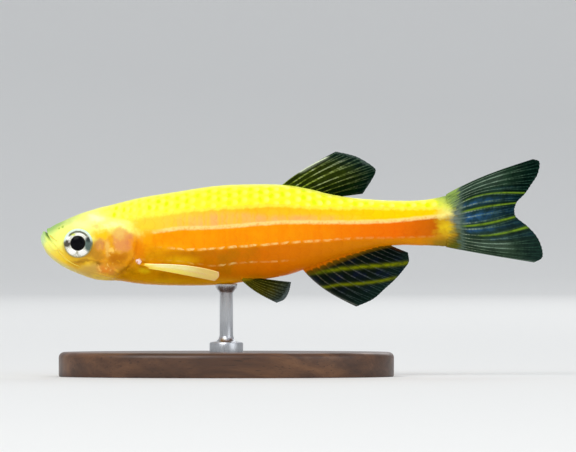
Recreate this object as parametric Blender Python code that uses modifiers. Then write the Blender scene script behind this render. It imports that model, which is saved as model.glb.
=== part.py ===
# A zebra danio, life size, swimming level on a plain display stand.
# +Z up, head towards -X. The origin is on the floor under the middle of the fish's length.
# It is shaped in millimetres, since exact Booleans lose small pieces at a thousandth of that size,
# and each finished piece is scaled to metres. Places on the fish are given as distance behind the
# lower lip and height above it.
import math
from bisect import bisect_right

import bmesh
import bpy
from mathutils import Matrix, Vector

METRES = 0.001
GAP = 0.3  # left between neighbouring pieces

# Driving sizes, in millimetres
TOTAL_LENGTH = 45.0
BODY_LENGTH = 36.8
LIP_HEIGHT = 12.4  # lower lip above the floor
SWAY = 1.5  # how far the tail's tip swings to one side
SWAY_START = 17.0
SECTION_POWER = 2.15  # 2 would make each cross section two half ellipses
BODY_RINGS = 78
BODY_SIDES = 40
TAIL_BULGE = 0.25

# The body's outline: distance, back, belly and half width
PROFILE = (
    (0.0, 0.0, 0.0, 0.0),
    (0.25, 0.47, -0.88, 0.62),
    (0.6, 0.74, -1.45, 0.92),
    (1.2, 1.14, -2.02, 1.24),
    (2.2, 1.61, -2.68, 1.64),
    (3.5, 2.16, -3.25, 1.98),
    (5.0, 2.63, -3.72, 2.18),
    (7.0, 3.18, -3.87, 2.45),
    (9.0, 3.66, -4.15, 2.62),
    (12.0, 4.15, -4.29, 2.76),
    (16.0, 4.73, -4.22, 2.74),
    (20.0, 4.85, -3.72, 2.5),
    (22.0, 4.76, -3.36, 2.3),
    (24.0, 4.43, -2.72, 2.04),
    (26.0, 3.94, -1.98, 1.75),
    (28.0, 3.63, -1.36, 1.48),
    (30.0, 3.46, -0.87, 1.25),
    (32.0, 3.38, -0.69, 1.03),
    (34.0, 3.42, -0.71, 0.82),
    (35.5, 3.65, -0.76, 0.62),
    (36.8, 3.98, -0.86, 0.42),
)

# Mouth, jaw, gill and tail cuts, as lines seen from the side
MOUTH_LINE = ((0.36, 1.1), (0.55, 0.3), (0.8, -0.08), (1.08, -0.44), (1.36, -0.82))
JAW_LINE = ((1.36, -0.82), (2.1, -1.55), (3.1, -2.25), (4.0, -2.75), (4.45, -3.3), (4.6, -4.3))
GILL_LINE = ((6.9, 4.2), (7.7, 2.7), (8.4, 1.3), (8.65, -0.3), (8.4, -1.7), (7.6, -2.85), (6.6, -3.5), (6.2, -4.6))
TAIL_LINE = ((31.3, 4.5), (31.15, 1.4), (31.3, -1.7))
LIP_SWELL = 0.09
LIP_REACH = 0.3

# Gill cover plates
GILL_OUTLINE = ((5.3, -0.3), (5.75, 0.75), (6.8, 1.2), (8.0, 1.0), (9.3, 0.2), (9.4, -1.6), (8.0, -3.0), (6.5, -3.2), (5.5, -2.6), (5.2, -1.5))
GILL_PROUD = 0.12
GILL_THICK = 0.5

# Eyes
EYE_CENTRE = (3.35, -0.47)
EYE_RADIUS = 1.31
PUPIL_RADIUS = 0.65
EYE_DEPTH = 0.8  # from the eye's middle plane out to the pupil
EYE_MIDDLE = 1.43  # of that plane from the fish's own middle
EYE_TURN = 8.0  # degrees towards the snout
LENS_STEP = 0.06
NOSTRILS = ((1.62, 0.78, 0.19), (2.02, 0.95, 0.23))  # distance, height, radius

# Feelers at the corner of the mouth: distance, sideways, height, radius
BARBEL = ((1.6, 0.95, -0.45, 0.25), (2.1, 1.95, -1.2, 0.24), (2.9, 2.4, -1.95, 0.2), (3.8, 2.65, -2.6, 0.14), (4.5, 2.75, -3.1, 0.08))

# Fins
RAY_THICK = 0.78
WEB_THICK = 0.5
TIP_SHARE = 0.6  # how thick a fin still is at its tip
ROOT_DEPTH = 0.45  # how far a fin's root starts inside the body before it is cut to it
DORSAL_ROOT = (21.1, 25.6)
DORSAL_BOW = (0.055, 0.02)  # of the first and last rays, as a share of their length
DORSAL_TIPS = ((26.4, 7.74), (27.55, 7.5), (28.45, 7.2), (29.6, 6.5), (29.98, 6.0), (29.5, 5.12), (28.6, 4.42))
ANAL_ROOT = (23.2, 30.6)
ANAL_BOW = (-0.068, -0.02)
ANAL_TIPS = ((28.24, -6.15), (29.72, -5.49), (30.79, -4.56), (31.78, -3.65), (32.58, -2.7), (32.95, -2.1), (32.85, -1.3))
TAIL_ROOT = (3.75, 1.55, -0.72)  # heights of the top, the fork's ray and the bottom
UPPER_TAIL_BOW = (0.03, 0.03)
LOWER_TAIL_BOW = (0.03, 0.0)
UPPER_TAIL_TIPS = ((44.1, 7.08), (44.68, 6.8), (44.5, 5.7), (43.9, 4.86), (43.35, 3.95), (42.8, 3.2), (42.42, 2.72))
LOWER_TAIL_TIPS = ((42.5, 2.3), (43.4, 1.35), (44.35, 0.35), (44.9, -0.5), (45.0, -1.2), (44.85, -1.95), (44.2, -2.2))
PECTORAL_ROOT = ((8.85, -2.42), (9.05, -2.72))
PECTORAL_TIPS = ((15.85, 4.1, -3.15), (15.75, 3.3, -3.35), (15.35, 2.45, -3.58))
PECTORAL_FALL = (2.6, 0.7)  # the first ray keeps its height and then drops, the last drops at once
PELVIC_ROOT = ((17.85, 1.1), (18.55, 0.5))  # distance and sideways
PELVIC_TIPS = ((21.1, 2.0, -5.77), (21.8, 1.75, -5.46), (22.2, 1.35, -4.8), (22.4, 0.85, -3.95))

# Display stand
BASE_LENGTH = 30.0
BASE_WIDTH = 16.0
BASE_THICK = 2.2
BASE_EDGE = 0.5
ROD_DISTANCE = 16.6  # the rod stands under the fish's balance point
ROD_RADIUS = 0.6
FOOT_RADIUS = 1.5
FOOT_HEIGHT = 0.9


def place(distance, sideways, height):
    return Vector((distance - TOTAL_LENGTH / 2, sideways, height + LIP_HEIGHT))


def curve_at(knots, values, at):
    # A smooth curve through values given at knots
    last = len(knots) - 1
    i = max(0, min(last - 1, bisect_right(knots, at) - 1))

    def slope(j):
        before, after = max(j - 1, 0), min(j + 1, last)
        return (values[after] - values[before]) / (knots[after] - knots[before])

    step = knots[i + 1] - knots[i]
    t = (at - knots[i]) / step
    start = values[i] * (2 * t**3 - 3 * t**2 + 1) + slope(i) * (step * (t**3 - 2 * t**2 + t))
    end = values[i + 1] * (3 * t**2 - 2 * t**3) + slope(i + 1) * (step * (t**3 - t**2))
    return start + end


def along(points, share):
    # The point that share (0 to 1) of the way along a smooth line through points
    return curve_at(list(range(len(points))), [Vector(p) for p in points], share * (len(points) - 1))


PROFILE_KNOTS = [math.sqrt(row[0]) for row in PROFILE]


def body_size(distance):
    # Back, belly and half width there. Square roots of the distance round the snout off.
    knot = math.sqrt(max(0.0, min(BODY_LENGTH, distance)))
    return [curve_at(PROFILE_KNOTS, [row[c] for row in PROFILE], knot) for c in (1, 2, 3)]


def line_distance(line, distance, height):
    # How far a point is from a bent line, seen from the side
    point = Vector((distance, height))
    nearest = math.inf
    for a, b in zip(line, line[1:]):
        start, run = Vector(a), Vector(b) - Vector(a)
        share = max(0.0, min(1.0, (point - start).dot(run) / run.length_squared))
        nearest = min(nearest, (point - start - run * share).length)
    return nearest


def skin_point(distance, angle, grow=0.0):
    # A point of the skin, at an angle round the body: 0 and 180 degrees are the flanks, 90 the back
    back, belly, half = body_size(distance)
    across, up = math.cos(angle), math.sin(angle)
    middle = (back + belly) / 2
    tall = (back - belly) / 2
    grow = max(grow, -0.6 * min(half, tall))
    height = middle + tall * math.copysign(abs(up) ** (2 / SECTION_POWER), up)
    grow += LIP_SWELL * math.exp(-((line_distance(MOUTH_LINE, distance, height) / LIP_REACH) ** 2))
    sideways = (half + grow) * math.copysign(abs(across) ** (2 / SECTION_POWER), across)
    height += grow * math.copysign(abs(up) ** (2 / SECTION_POWER), up)
    return place(distance, sideways, height)


def flank(distance, height):
    # Half the body's width at a height
    back, belly, half = body_size(distance)
    share = abs(height - (back + belly) / 2) / ((back - belly) / 2)
    return half * max(0.0, 1 - share**SECTION_POWER) ** (1 / SECTION_POWER)


def underside(distance, sideways):
    # The belly's height at a distance from the middle
    back, belly, half = body_size(distance)
    share = min(1.0, abs(sideways) / half)
    return (back + belly) / 2 - (back - belly) / 2 * (1 - share**SECTION_POWER) ** (1 / SECTION_POWER)


def material(name, colour, roughness, metallic=0.0):
    made = bpy.data.materials.new(name)
    made.use_nodes = True
    shader = made.node_tree.nodes["Principled BSDF"]
    shader.inputs["Base Color"].default_value = (*colour, 1.0)
    shader.inputs["Roughness"].default_value = roughness
    shader.inputs["Metallic"].default_value = metallic
    return made


def new_object(name, mesh, collection):
    obj = bpy.data.objects.new(name, mesh)
    collection.objects.link(obj)
    return obj


def finish_bmesh(bm, name, collection):
    bmesh.ops.recalc_face_normals(bm, faces=bm.faces)
    mesh = bpy.data.meshes.new(name)
    bm.to_mesh(mesh)
    bm.free()
    return new_object(name, mesh, collection)


def apply_modifiers(obj):
    bpy.context.view_layer.update()
    evaluated = obj.evaluated_get(bpy.context.evaluated_depsgraph_get())
    mesh = bpy.data.meshes.new_from_object(evaluated)
    obj.modifiers.clear()
    obj.data = mesh


def keep_largest(obj):
    # Drops the loose scraps that a cut can leave
    bm = bmesh.new()
    bm.from_mesh(obj.data)
    unseen, groups = set(bm.verts), []
    while unseen:
        group, edge_of = [], [unseen.pop()]
        while edge_of:
            vert = edge_of.pop()
            group.append(vert)
            for edge in vert.link_edges:
                other = edge.other_vert(vert)
                if other in unseen:
                    unseen.remove(other)
                    edge_of.append(other)
        groups.append(group)
    groups.sort(key=len)
    bmesh.ops.delete(bm, geom=[v for group in groups[:-1] for v in group], context="VERTS")
    bm.to_mesh(obj.data)
    bm.free()


def boolean(obj, other, operation, solver="EXACT"):
    modifier = obj.modifiers.new(operation.lower(), "BOOLEAN")
    modifier.operation = operation
    modifier.solver = solver
    modifier.object = other
    apply_modifiers(obj)


def as_helper(obj):
    obj.hide_render = True
    obj.display_type = "WIRE"
    return obj


def body_mesh(name, collection, grow=0.0):
    # A ball whose rings are moved to the body's cross sections
    bm = bmesh.new()
    bmesh.ops.create_uvsphere(bm, u_segments=BODY_SIDES, v_segments=BODY_RINGS, radius=1.0)
    for vert in bm.verts:
        ring = round(math.acos(max(-1.0, min(1.0, vert.co.z))) / math.pi * BODY_RINGS)
        angle = math.atan2(vert.co.x, vert.co.y)
        if ring == 0:
            vert.co = place(-grow, 0, 0)
        elif ring == BODY_RINGS:
            vert.co = place(BODY_LENGTH + TAIL_BULGE + grow, 0, sum(TAIL_ROOT[::2]) / 2)
        else:
            distance = BODY_LENGTH * (ring / (BODY_RINGS - 1)) ** 1.6
            vert.co = skin_point(distance, angle, grow)
            if ring == BODY_RINGS - 1:
                vert.co.x += grow
    return finish_bmesh(bm, name, collection)


def prism(name, outline, near, far, collection):
    # A flat outline seen from the side, as thick as from near to far across the fish
    curve = bpy.data.curves.new(name, "CURVE")
    curve.dimensions = "2D"
    curve.fill_mode = "BOTH"
    curve.extrude = abs(far - near) / 2
    spline = curve.splines.new("POLY")
    spline.points.add(len(outline) - 1)
    spline.use_cyclic_u = True
    for point, (distance, height) in zip(spline.points, outline):
        spot = place(distance, 0, height)
        point.co = (spot.x, spot.z, 0.0, 1.0)
    obj = new_object(name, curve, collection)
    obj.rotation_euler = (math.radians(90), 0, 0)
    obj.location.y = (near + far) / 2
    bpy.context.view_layer.update()
    mesh = bpy.data.meshes.new_from_object(obj.evaluated_get(bpy.context.evaluated_depsgraph_get()))
    mesh.transform(obj.matrix_world)
    bpy.data.objects.remove(obj)
    bm = bmesh.new()
    bm.from_mesh(mesh)
    bmesh.ops.remove_doubles(bm, verts=bm.verts, dist=1e-4)
    return as_helper(finish_bmesh(bm, name, collection))


def blade(name, line, width, collection, steps=12):
    # A thin curved cutter along a line, right through the fish
    points = [along(line, i / steps) for i in range(steps + 1)]
    sides = []
    for i, point in enumerate(points):
        run = points[min(i + 1, steps)] - points[max(i - 1, 0)]
        across = Vector((-run.y, run.x)).normalized() * width / 2
        sides.append((point + across, point - across))
    outline = [s[0] for s in sides] + [s[1] for s in reversed(sides)]
    return prism(name, outline, -5, 5, collection)


def smooth_outline(points, grow=0.0, steps=36):
    # A closed smooth outline through points, grown about its middle
    middle = sum((Vector(p) for p in points), Vector((0, 0))) / len(points)
    ring = [*points, points[0]]
    outline = [along(ring, i / steps) for i in range(steps)]
    return [p + (p - middle).normalized() * grow for p in outline]


def split_body(whole, names):
    # Gives each loose part of the cut body the name whose place is nearest
    bpy.context.view_layer.objects.active = whole
    whole.select_set(True)
    bpy.ops.object.mode_set(mode="EDIT")
    bpy.ops.mesh.select_all(action="SELECT")
    bpy.ops.mesh.separate(type="LOOSE")
    bpy.ops.object.mode_set(mode="OBJECT")
    parts = {}
    for obj in list(bpy.context.selected_objects):
        centre = sum((v.co for v in obj.data.vertices), Vector()) / len(obj.data.vertices)
        name = min(names, key=lambda n: (place(names[n][0], 0, names[n][1]) - centre).length)
        parts[name] = obj
        obj.name = name
    return parts


def eye_solid(name, side, grow, collection):
    # A flattened ball with a slightly raised lens; grown, it cuts the socket
    bm = bmesh.new()
    bmesh.ops.create_uvsphere(bm, u_segments=26, v_segments=14, radius=1.0)
    radius, depth = EYE_RADIUS + grow, EYE_DEPTH + grow
    for vert in bm.verts:
        out = math.hypot(vert.co.x, vert.co.y) * radius
        lens = LENS_STEP * max(0.0, 1 - (out / PUPIL_RADIUS) ** 4) if vert.co.z > 0 and not grow else 0.0
        vert.co = Vector((vert.co.x * radius, vert.co.z * depth * side + lens * side, vert.co.y * radius))
    turn = Matrix.Rotation(math.radians(EYE_TURN) * side, 4, "Z")
    centre = Matrix.Translation(place(EYE_CENTRE[0], EYE_MIDDLE * side, EYE_CENTRE[1]))
    bmesh.ops.transform(bm, matrix=centre @ turn, verts=bm.verts)
    return finish_bmesh(bm, name, collection)


def nostril_cutter(distance, height, radius, side, collection):
    bm = bmesh.new()
    spot = place(distance, side * (flank(distance, height) + radius * 0.2), height)
    bmesh.ops.create_icosphere(bm, subdivisions=2, radius=radius, matrix=Matrix.Translation(spot))
    return as_helper(finish_bmesh(bm, "nostril_cutter", collection))


def barbel_solid(side, collection):
    # A short tapered feeler, as a bent tube
    curve = bpy.data.curves.new("barbel", "CURVE")
    curve.dimensions = "3D"
    curve.bevel_depth = 1.0
    curve.bevel_resolution = 1
    curve.use_fill_caps = True
    spline = curve.splines.new("POLY")
    steps = 8
    spline.points.add(steps)
    for i, point in enumerate(spline.points):
        spot = along(BARBEL, i / steps)
        point.co = (*place(spot[0], spot[1] * side, spot[2]), 1.0)
        point.radius = spot[3]
    obj = new_object("barbel", curve, collection)
    bpy.context.view_layer.update()
    mesh = bpy.data.meshes.new_from_object(obj.evaluated_get(bpy.context.evaluated_depsgraph_get()))
    bpy.data.objects.remove(obj)
    bm = bmesh.new()
    bm.from_mesh(mesh)
    bmesh.ops.remove_doubles(bm, verts=bm.verts, dist=1e-4)
    return as_helper(finish_bmesh(bm, "barbel", collection))


def fin(name, rays, rows, point_at, body_cutter, look, collection):
    # A sheet with a ridge along each ray, thick from both faces and cut to the body at its root.
    # point_at(across, out) gives the sheet's middle: across from the first ray to the last, out from root to tip.
    columns = 2 * (rays - 1)
    bm = bmesh.new()
    bmesh.ops.create_grid(bm, x_segments=columns, y_segments=rows, size=1.0)
    weight = bm.verts.layers.deform.verify()
    for vert in bm.verts:
        across, out = (vert.co.x + 1) / 2, (vert.co.y + 1) / 2
        on_ray = round(across * columns) % 2 == 0
        taper = 1 - (1 - TIP_SHARE) * out**3
        vert[weight][0] = (1.0 if on_ray else WEB_THICK / RAY_THICK) * taper
        vert.co = place(*point_at(across, out))
    bmesh.ops.triangulate(bm, faces=bm.faces, quad_method="FIXED")
    mesh = bpy.data.meshes.new(name)
    bm.to_mesh(mesh)
    bm.free()
    obj = new_object(name, mesh, collection)
    obj.vertex_groups.new(name="ridges")
    solidify = obj.modifiers.new("thickness", "SOLIDIFY")
    solidify.thickness = RAY_THICK
    solidify.offset = 0.0
    solidify.vertex_group = "ridges"
    solidify.thickness_vertex_group = 0.0
    apply_modifiers(obj)
    boolean(obj, body_cutter, "DIFFERENCE", "MANIFOLD")
    keep_largest(obj)
    obj.data.materials.clear()
    obj.data.materials.append(look)
    return obj


def upright_fin(root, tips, bow):
    # A fin in the fish's middle plane. root(across) gives its foot, and bow bends its rays a little.
    def point_at(across, out):
        foot, tip = Vector(root(across)), along(tips, across)
        spot = foot.lerp(tip, out)
        bend = (bow[0] + (bow[1] - bow[0]) * across) * math.sin(math.pi * out**0.85)
        lift = Vector((foot.y - tip.y, tip.x - foot.x)) * bend
        return spot.x + lift.x, 0.0, spot.y + lift.y

    return point_at


def dorsal_root(across):
    distance = DORSAL_ROOT[0] + (DORSAL_ROOT[1] - DORSAL_ROOT[0]) * across
    return distance, body_size(distance)[0] - ROOT_DEPTH


def anal_root(across):
    distance = ANAL_ROOT[0] + (ANAL_ROOT[1] - ANAL_ROOT[0]) * across
    return distance, body_size(distance)[1] + ROOT_DEPTH


def tail_root(high, low):
    def root(across):
        return BODY_LENGTH - ROOT_DEPTH, high + (low - high) * across

    return root


def pectoral_point(side):
    def point_at(across, out):
        (top_x, top_z), (low_x, low_z) = PECTORAL_ROOT
        x, z = top_x + (low_x - top_x) * across, top_z + (low_z - top_z) * across
        y = flank(x, z) - ROOT_DEPTH
        tip_x, tip_y, tip_z = along(PECTORAL_TIPS, across)
        fall = PECTORAL_FALL[0] + (PECTORAL_FALL[1] - PECTORAL_FALL[0]) * across
        spread = 1 - (1 - out) ** 2.2  # the fin turns back soon after its root
        return x + (tip_x - x) * out**1.5, side * (y + (tip_y - y) * spread), z + (tip_z - z) * out**fall

    return point_at


def pelvic_point(side):
    def point_at(across, out):
        (first_x, first_y), (last_x, last_y) = PELVIC_ROOT
        x, y = first_x + (last_x - first_x) * across, first_y + (last_y - first_y) * across
        z = underside(x, y) + ROOT_DEPTH
        tip_x, tip_y, tip_z = along(PELVIC_TIPS, across)
        sweep = 1.35 - 0.25 * across
        return x + (tip_x - x) * out**sweep, side * (y + (tip_y - y) * out), z + (tip_z - z) * out**0.8

    return point_at


def stand_base(look, collection):
    bm = bmesh.new()
    bmesh.ops.create_cone(bm, cap_ends=True, segments=64, radius1=0.5, radius2=0.5, depth=1.0)
    centre = ROD_DISTANCE - TOTAL_LENGTH / 2
    size = Matrix.Diagonal((BASE_LENGTH, BASE_WIDTH, BASE_THICK, 1))
    bmesh.ops.transform(bm, matrix=Matrix.Translation((centre, 0, BASE_THICK / 2)) @ size, verts=bm.verts)
    top = [e for e in bm.edges if min(v.co.z for v in e.verts) > BASE_THICK * 0.9]
    bmesh.ops.bevel(bm, geom=top, offset=BASE_EDGE, segments=2, profile=0.5, affect="EDGES", material=-1)
    obj = finish_bmesh(bm, "stand_base", collection)
    obj.data.materials.append(look)
    return obj


def stand_rod(body_cutter, look, collection):
    # A turned rod with a wider foot, cut at its top to the belly that it carries
    low = BASE_THICK + GAP
    belly = LIP_HEIGHT + body_size(ROD_DISTANCE)[1]
    profile = (
        (0.0, belly + 1.0),
        (ROD_RADIUS, belly + 1.0),
        (ROD_RADIUS, low + FOOT_HEIGHT + 0.6),
        (ROD_RADIUS + 0.25, low + FOOT_HEIGHT + 0.15),
        (FOOT_RADIUS - 0.2, low + FOOT_HEIGHT),
        (FOOT_RADIUS, low + FOOT_HEIGHT - 0.2),
        (FOOT_RADIUS, low),
        (0.0, low),
    )
    bm = bmesh.new()
    verts = [bm.verts.new((r, 0, z)) for r, z in profile]
    for a, b in zip(verts, verts[1:]):
        bm.edges.new((a, b))
    mesh = bpy.data.meshes.new("stand_rod")
    bm.to_mesh(mesh)
    bm.free()
    obj = new_object("stand_rod", mesh, collection)
    screw = obj.modifiers.new("turn", "SCREW")
    screw.steps = screw.render_steps = 24
    screw.use_merge_vertices = True
    screw.merge_threshold = 1e-4
    apply_modifiers(obj)
    obj.data.transform(Matrix.Translation((ROD_DISTANCE - TOTAL_LENGTH / 2, 0, 0)))
    boolean(obj, body_cutter, "DIFFERENCE")
    keep_largest(obj)
    obj.data.materials.clear()
    obj.data.materials.append(look)
    return obj


def swing_tail(obj):
    # The body curves gently to one side towards the tail; the outline from the side stays as it is
    for vert in obj.data.vertices:
        distance = vert.co.x + TOTAL_LENGTH / 2
        share = max(0.0, distance - SWAY_START) / (TOTAL_LENGTH - SWAY_START)
        vert.co.y += SWAY * share**2


def smooth_shade(obj, angle=35.0):
    obj.data.shade_smooth()
    obj.data.set_sharp_from_angle(angle=math.radians(angle))


def main():
    for obj in list(bpy.data.objects):
        bpy.data.objects.remove(obj)
    fish = bpy.data.collections.new("zebra_danio")
    cutters = bpy.data.collections.new("cutters")
    for collection in (fish, cutters):
        bpy.context.scene.collection.children.link(collection)
    looks = {
        "head": material("head_skin", (0.93, 0.85, 0.16), 0.35),
        "body": material("body_skin", (0.95, 0.52, 0.03), 0.35),
        "gill": material("gill_cover", (0.85, 0.42, 0.1), 0.3),
        "eye": material("eye", (0.75, 0.78, 0.72), 0.15, 0.3),
        "fin": material("fin", (0.28, 0.36, 0.2), 0.4),
        "pale_fin": material("pectoral_fin", (0.9, 0.8, 0.45), 0.4),
        "base": material("stand_wood", (0.07, 0.045, 0.03), 0.45),
        "rod": material("stand_steel", (0.6, 0.6, 0.62), 0.3, 1.0),
    }

    # The body as one piece, parted by thin cuts
    whole = body_mesh("whole_body", fish)
    close = as_helper(body_mesh("body_and_gap", cutters, GAP))
    jaw_gap = blade("jaw_cut", (*MOUTH_LINE, *JAW_LINE[1:]), GAP, cutters, 30)
    gill_gap = blade("gill_cut", GILL_LINE, GAP, cutters, 24)
    tail_gap = blade("tail_cut", TAIL_LINE, GAP, cutters, 6)
    for cutter in (jaw_gap, gill_gap, tail_gap):
        boolean(whole, cutter, "DIFFERENCE")
    places = {"lower_jaw": (2.3, -2.2), "head": (4.8, 0.2), "trunk": (18, 0.3), "tail_stalk": (34, 1.4)}
    parts = split_body(whole, places)
    for name, obj in parts.items():
        obj.data.materials.append(looks["head" if name in ("head", "lower_jaw") else "body"])
    head = parts["head"]

    # Gill covers, each a plate in a shallow pocket of the head
    outer = as_helper(body_mesh("gill_outer", cutters, GILL_PROUD))
    inner = as_helper(body_mesh("gill_inner", cutters, GILL_PROUD - GILL_THICK))
    floor = as_helper(body_mesh("pocket_floor", cutters, GILL_PROUD - GILL_THICK - GAP))
    pocket = prism("gill_pocket", smooth_outline(GILL_OUTLINE, GAP), -5, 5, cutters)
    boolean(pocket, floor, "DIFFERENCE")
    boolean(head, pocket, "DIFFERENCE")
    keep_largest(head)
    for word, side in (("left", -1), ("right", 1)):
        plate = prism(f"gill_cover_{word}", smooth_outline(GILL_OUTLINE), side * 0.5, side * 5, fish)
        boolean(plate, outer, "INTERSECT")
        boolean(plate, inner, "DIFFERENCE")
        boolean(plate, gill_gap, "DIFFERENCE")
        keep_largest(plate)
        plate.hide_render = False
        plate.display_type = "TEXTURED"
        plate.data.materials.clear()
        plate.data.materials.append(looks["gill"])

    # Eyes, nostrils and feelers
    for word, side in (("left", -1), ("right", 1)):
        eye = eye_solid(f"eye_{word}", side, 0.0, fish)
        eye.data.materials.append(looks["eye"])
        boolean(head, as_helper(eye_solid(f"socket_{word}", side, GAP, cutters)), "DIFFERENCE")
        for distance, height, radius in NOSTRILS:
            boolean(head, nostril_cutter(distance, height, radius, side, cutters), "DIFFERENCE")
        boolean(head, barbel_solid(side, cutters), "UNION")
    keep_largest(head)

    # Fins
    fin("dorsal_fin", 9, 9, upright_fin(dorsal_root, DORSAL_TIPS, DORSAL_BOW), close, looks["fin"], fish)
    fin("anal_fin", 12, 8, upright_fin(anal_root, ANAL_TIPS, ANAL_BOW), close, looks["fin"], fish)
    top, fork, bottom = TAIL_ROOT
    for name, high, low, tips, bow in (
        ("tail_fin_upper", top, fork + GAP / 2, UPPER_TAIL_TIPS, UPPER_TAIL_BOW),
        ("tail_fin_lower", fork - GAP / 2, bottom, LOWER_TAIL_TIPS, LOWER_TAIL_BOW),
    ):
        fin(name, 9, 10, upright_fin(tail_root(high, low), tips, bow), close, looks["fin"], fish)
    for word, side in (("left", -1), ("right", 1)):
        fin(f"pectoral_fin_{word}", 7, 10, pectoral_point(side), close, looks["pale_fin"], fish)
        fin(f"pelvic_fin_{word}", 6, 8, pelvic_point(side), close, looks["fin"], fish)

    rod = stand_rod(close, looks["rod"], fish)
    base = stand_base(looks["base"], fish)
    for obj in fish.objects:
        if obj not in (rod, base):
            swing_tail(obj)
        obj.data.transform(Matrix.Scale(METRES, 4))
        smooth_shade(obj)
    for cutter in list(cutters.objects):
        bpy.data.objects.remove(cutter)


main()
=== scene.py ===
import math

import bmesh
import bpy
import numpy as np
from mathutils import Matrix, Vector


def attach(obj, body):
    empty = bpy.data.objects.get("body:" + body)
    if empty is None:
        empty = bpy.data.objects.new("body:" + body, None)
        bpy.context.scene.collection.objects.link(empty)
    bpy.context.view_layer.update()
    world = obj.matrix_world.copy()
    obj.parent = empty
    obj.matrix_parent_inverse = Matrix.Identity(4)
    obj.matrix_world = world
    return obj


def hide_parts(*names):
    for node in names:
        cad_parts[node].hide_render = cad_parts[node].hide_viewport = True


# A life-size zebra danio on its display stand. Places on the fish are in millimetres:
# along is the distance behind the lower lip, up is the height above it, side is 0 in the middle.

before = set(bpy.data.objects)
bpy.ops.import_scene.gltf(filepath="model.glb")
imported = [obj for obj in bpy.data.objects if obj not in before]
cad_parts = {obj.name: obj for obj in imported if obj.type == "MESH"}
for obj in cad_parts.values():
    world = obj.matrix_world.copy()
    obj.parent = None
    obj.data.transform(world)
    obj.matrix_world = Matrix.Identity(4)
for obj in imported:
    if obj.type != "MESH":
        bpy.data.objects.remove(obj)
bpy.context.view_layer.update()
dice = np.random.default_rng(23)
inMetre = 1000  # millimetres

fish = {
    "length": 45.0,
    "bodyLength": 36.8,
    "lipHeight": 12.4,  # above the table
    "roundness": 2.15,  # 2 makes each cross section two half ellipses
    "tailSwing": 1.5,  # of the tail's tip, to the fish's right
    "swingFrom": 17.0,
    "scaleDepth": 0.06,  # the skin lies this far inside the solids where scales cover it
    "outline": [  # along, back, belly, half width
        (0.0, 0.0, 0.0, 0.0), (0.25, 0.47, -0.88, 0.62), (0.6, 0.74, -1.45, 0.92),
        (1.2, 1.14, -2.02, 1.24), (2.2, 1.61, -2.68, 1.64), (3.5, 2.16, -3.25, 1.98),
        (5.0, 2.63, -3.72, 2.18), (7.0, 3.18, -3.87, 2.45), (9.0, 3.66, -4.15, 2.62),
        (12.0, 4.15, -4.29, 2.76), (16.0, 4.73, -4.22, 2.74), (20.0, 4.85, -3.72, 2.5),
        (22.0, 4.76, -3.36, 2.3), (24.0, 4.43, -2.72, 2.04), (26.0, 3.94, -1.98, 1.75),
        (28.0, 3.63, -1.36, 1.48), (30.0, 3.46, -0.87, 1.25), (32.0, 3.38, -0.69, 1.03),
        (34.0, 3.42, -0.71, 0.82), (35.5, 3.65, -0.76, 0.62), (36.8, 3.98, -0.86, 0.42),
    ],
    "mouthLine": [(0.36, 1.1), (0.55, 0.3), (0.8, -0.08), (1.08, -0.44), (1.36, -0.82)],
    "jawLine": [(1.36, -0.82), (2.1, -1.55), (3.1, -2.25), (4.0, -2.75)],
    "gillLine": [
        (6.9, 4.2), (7.7, 2.7), (8.4, 1.3), (8.65, -0.3), (8.4, -1.7), (7.6, -2.85), (6.6, -3.5), (6.2, -4.6),
    ],
    "coverFront": [(5.45, 0.9), (5.55, -0.4), (5.75, -1.7), (6.4, -2.7), (7.2, -3.15)],
}


def smoothCurve(knots, values, at):
    # A smooth curve through values given at knots, read at many places at once
    knots, values, at = (np.asarray(x, float) for x in (knots, values, at))
    last = len(knots) - 1
    order = np.arange(last + 1)
    before, after = np.maximum(order - 1, 0), np.minimum(order + 1, last)
    slopes = ((values[after] - values[before]).T / (knots[after] - knots[before])).T
    i = np.clip(np.searchsorted(knots, at, side="right") - 1, 0, last - 1)
    step = knots[i + 1] - knots[i]
    t = (at - knots[i]) / step
    if values.ndim > 1:
        step, t = step[..., None], t[..., None]
    start = values[i] * (2 * t**3 - 3 * t**2 + 1) + slopes[i] * step * (t**3 - 2 * t**2 + t)
    return start + values[i + 1] * (3 * t**2 - 2 * t**3) + slopes[i + 1] * step * (t**3 - t**2)


def lineThrough(points, share):
    return smoothCurve(range(len(points)), points, np.asarray(share, float) * (len(points) - 1))


def bodySize(along):
    # Back, belly and half width. Square roots of the distance round the snout off.
    outline = np.array(fish["outline"])
    places = np.sqrt(np.clip(along, 0, fish["bodyLength"]))
    return np.moveaxis(smoothCurve(np.sqrt(outline[:, 0]), outline[:, 1:], places), -1, 0)


def easeIn(value, low, high):
    t = np.clip((value - low) / (high - low), 0, 1)
    return t * t * (3 - 2 * t)


def window(value, start, full, fade, end):
    # 0 outside start and end, 1 between full and fade
    return easeIn(value, start, full) * (1 - easeIn(value, fade, end))


def bump(value, width):
    return np.exp(-((value / width) ** 2))


def blend(pair, share):
    return pair[0] + (pair[1] - pair[0]) * share


def distanceTo(line, along, up):
    # How far points are from a bent line, seen from the side
    corners = np.array(line, float)
    nearest = np.full(np.shape(along), np.inf)
    for start, end in zip(corners, corners[1:]):
        run = end - start
        share = np.clip(((along - start[0]) * run[0] + (up - start[1]) * run[1]) / run.dot(run), 0, 1)
        gap = np.hypot(along - start[0] - share * run[0], up - start[1] - share * run[1])
        nearest = np.minimum(nearest, gap)
    return nearest


def behindGill(along, up):
    # Distance behind the gill opening and the nape, negative on the head
    line = np.array(fish["gillLine"])[::-1]
    return along - np.interp(up, line[:, 1], line[:, 0])


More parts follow.
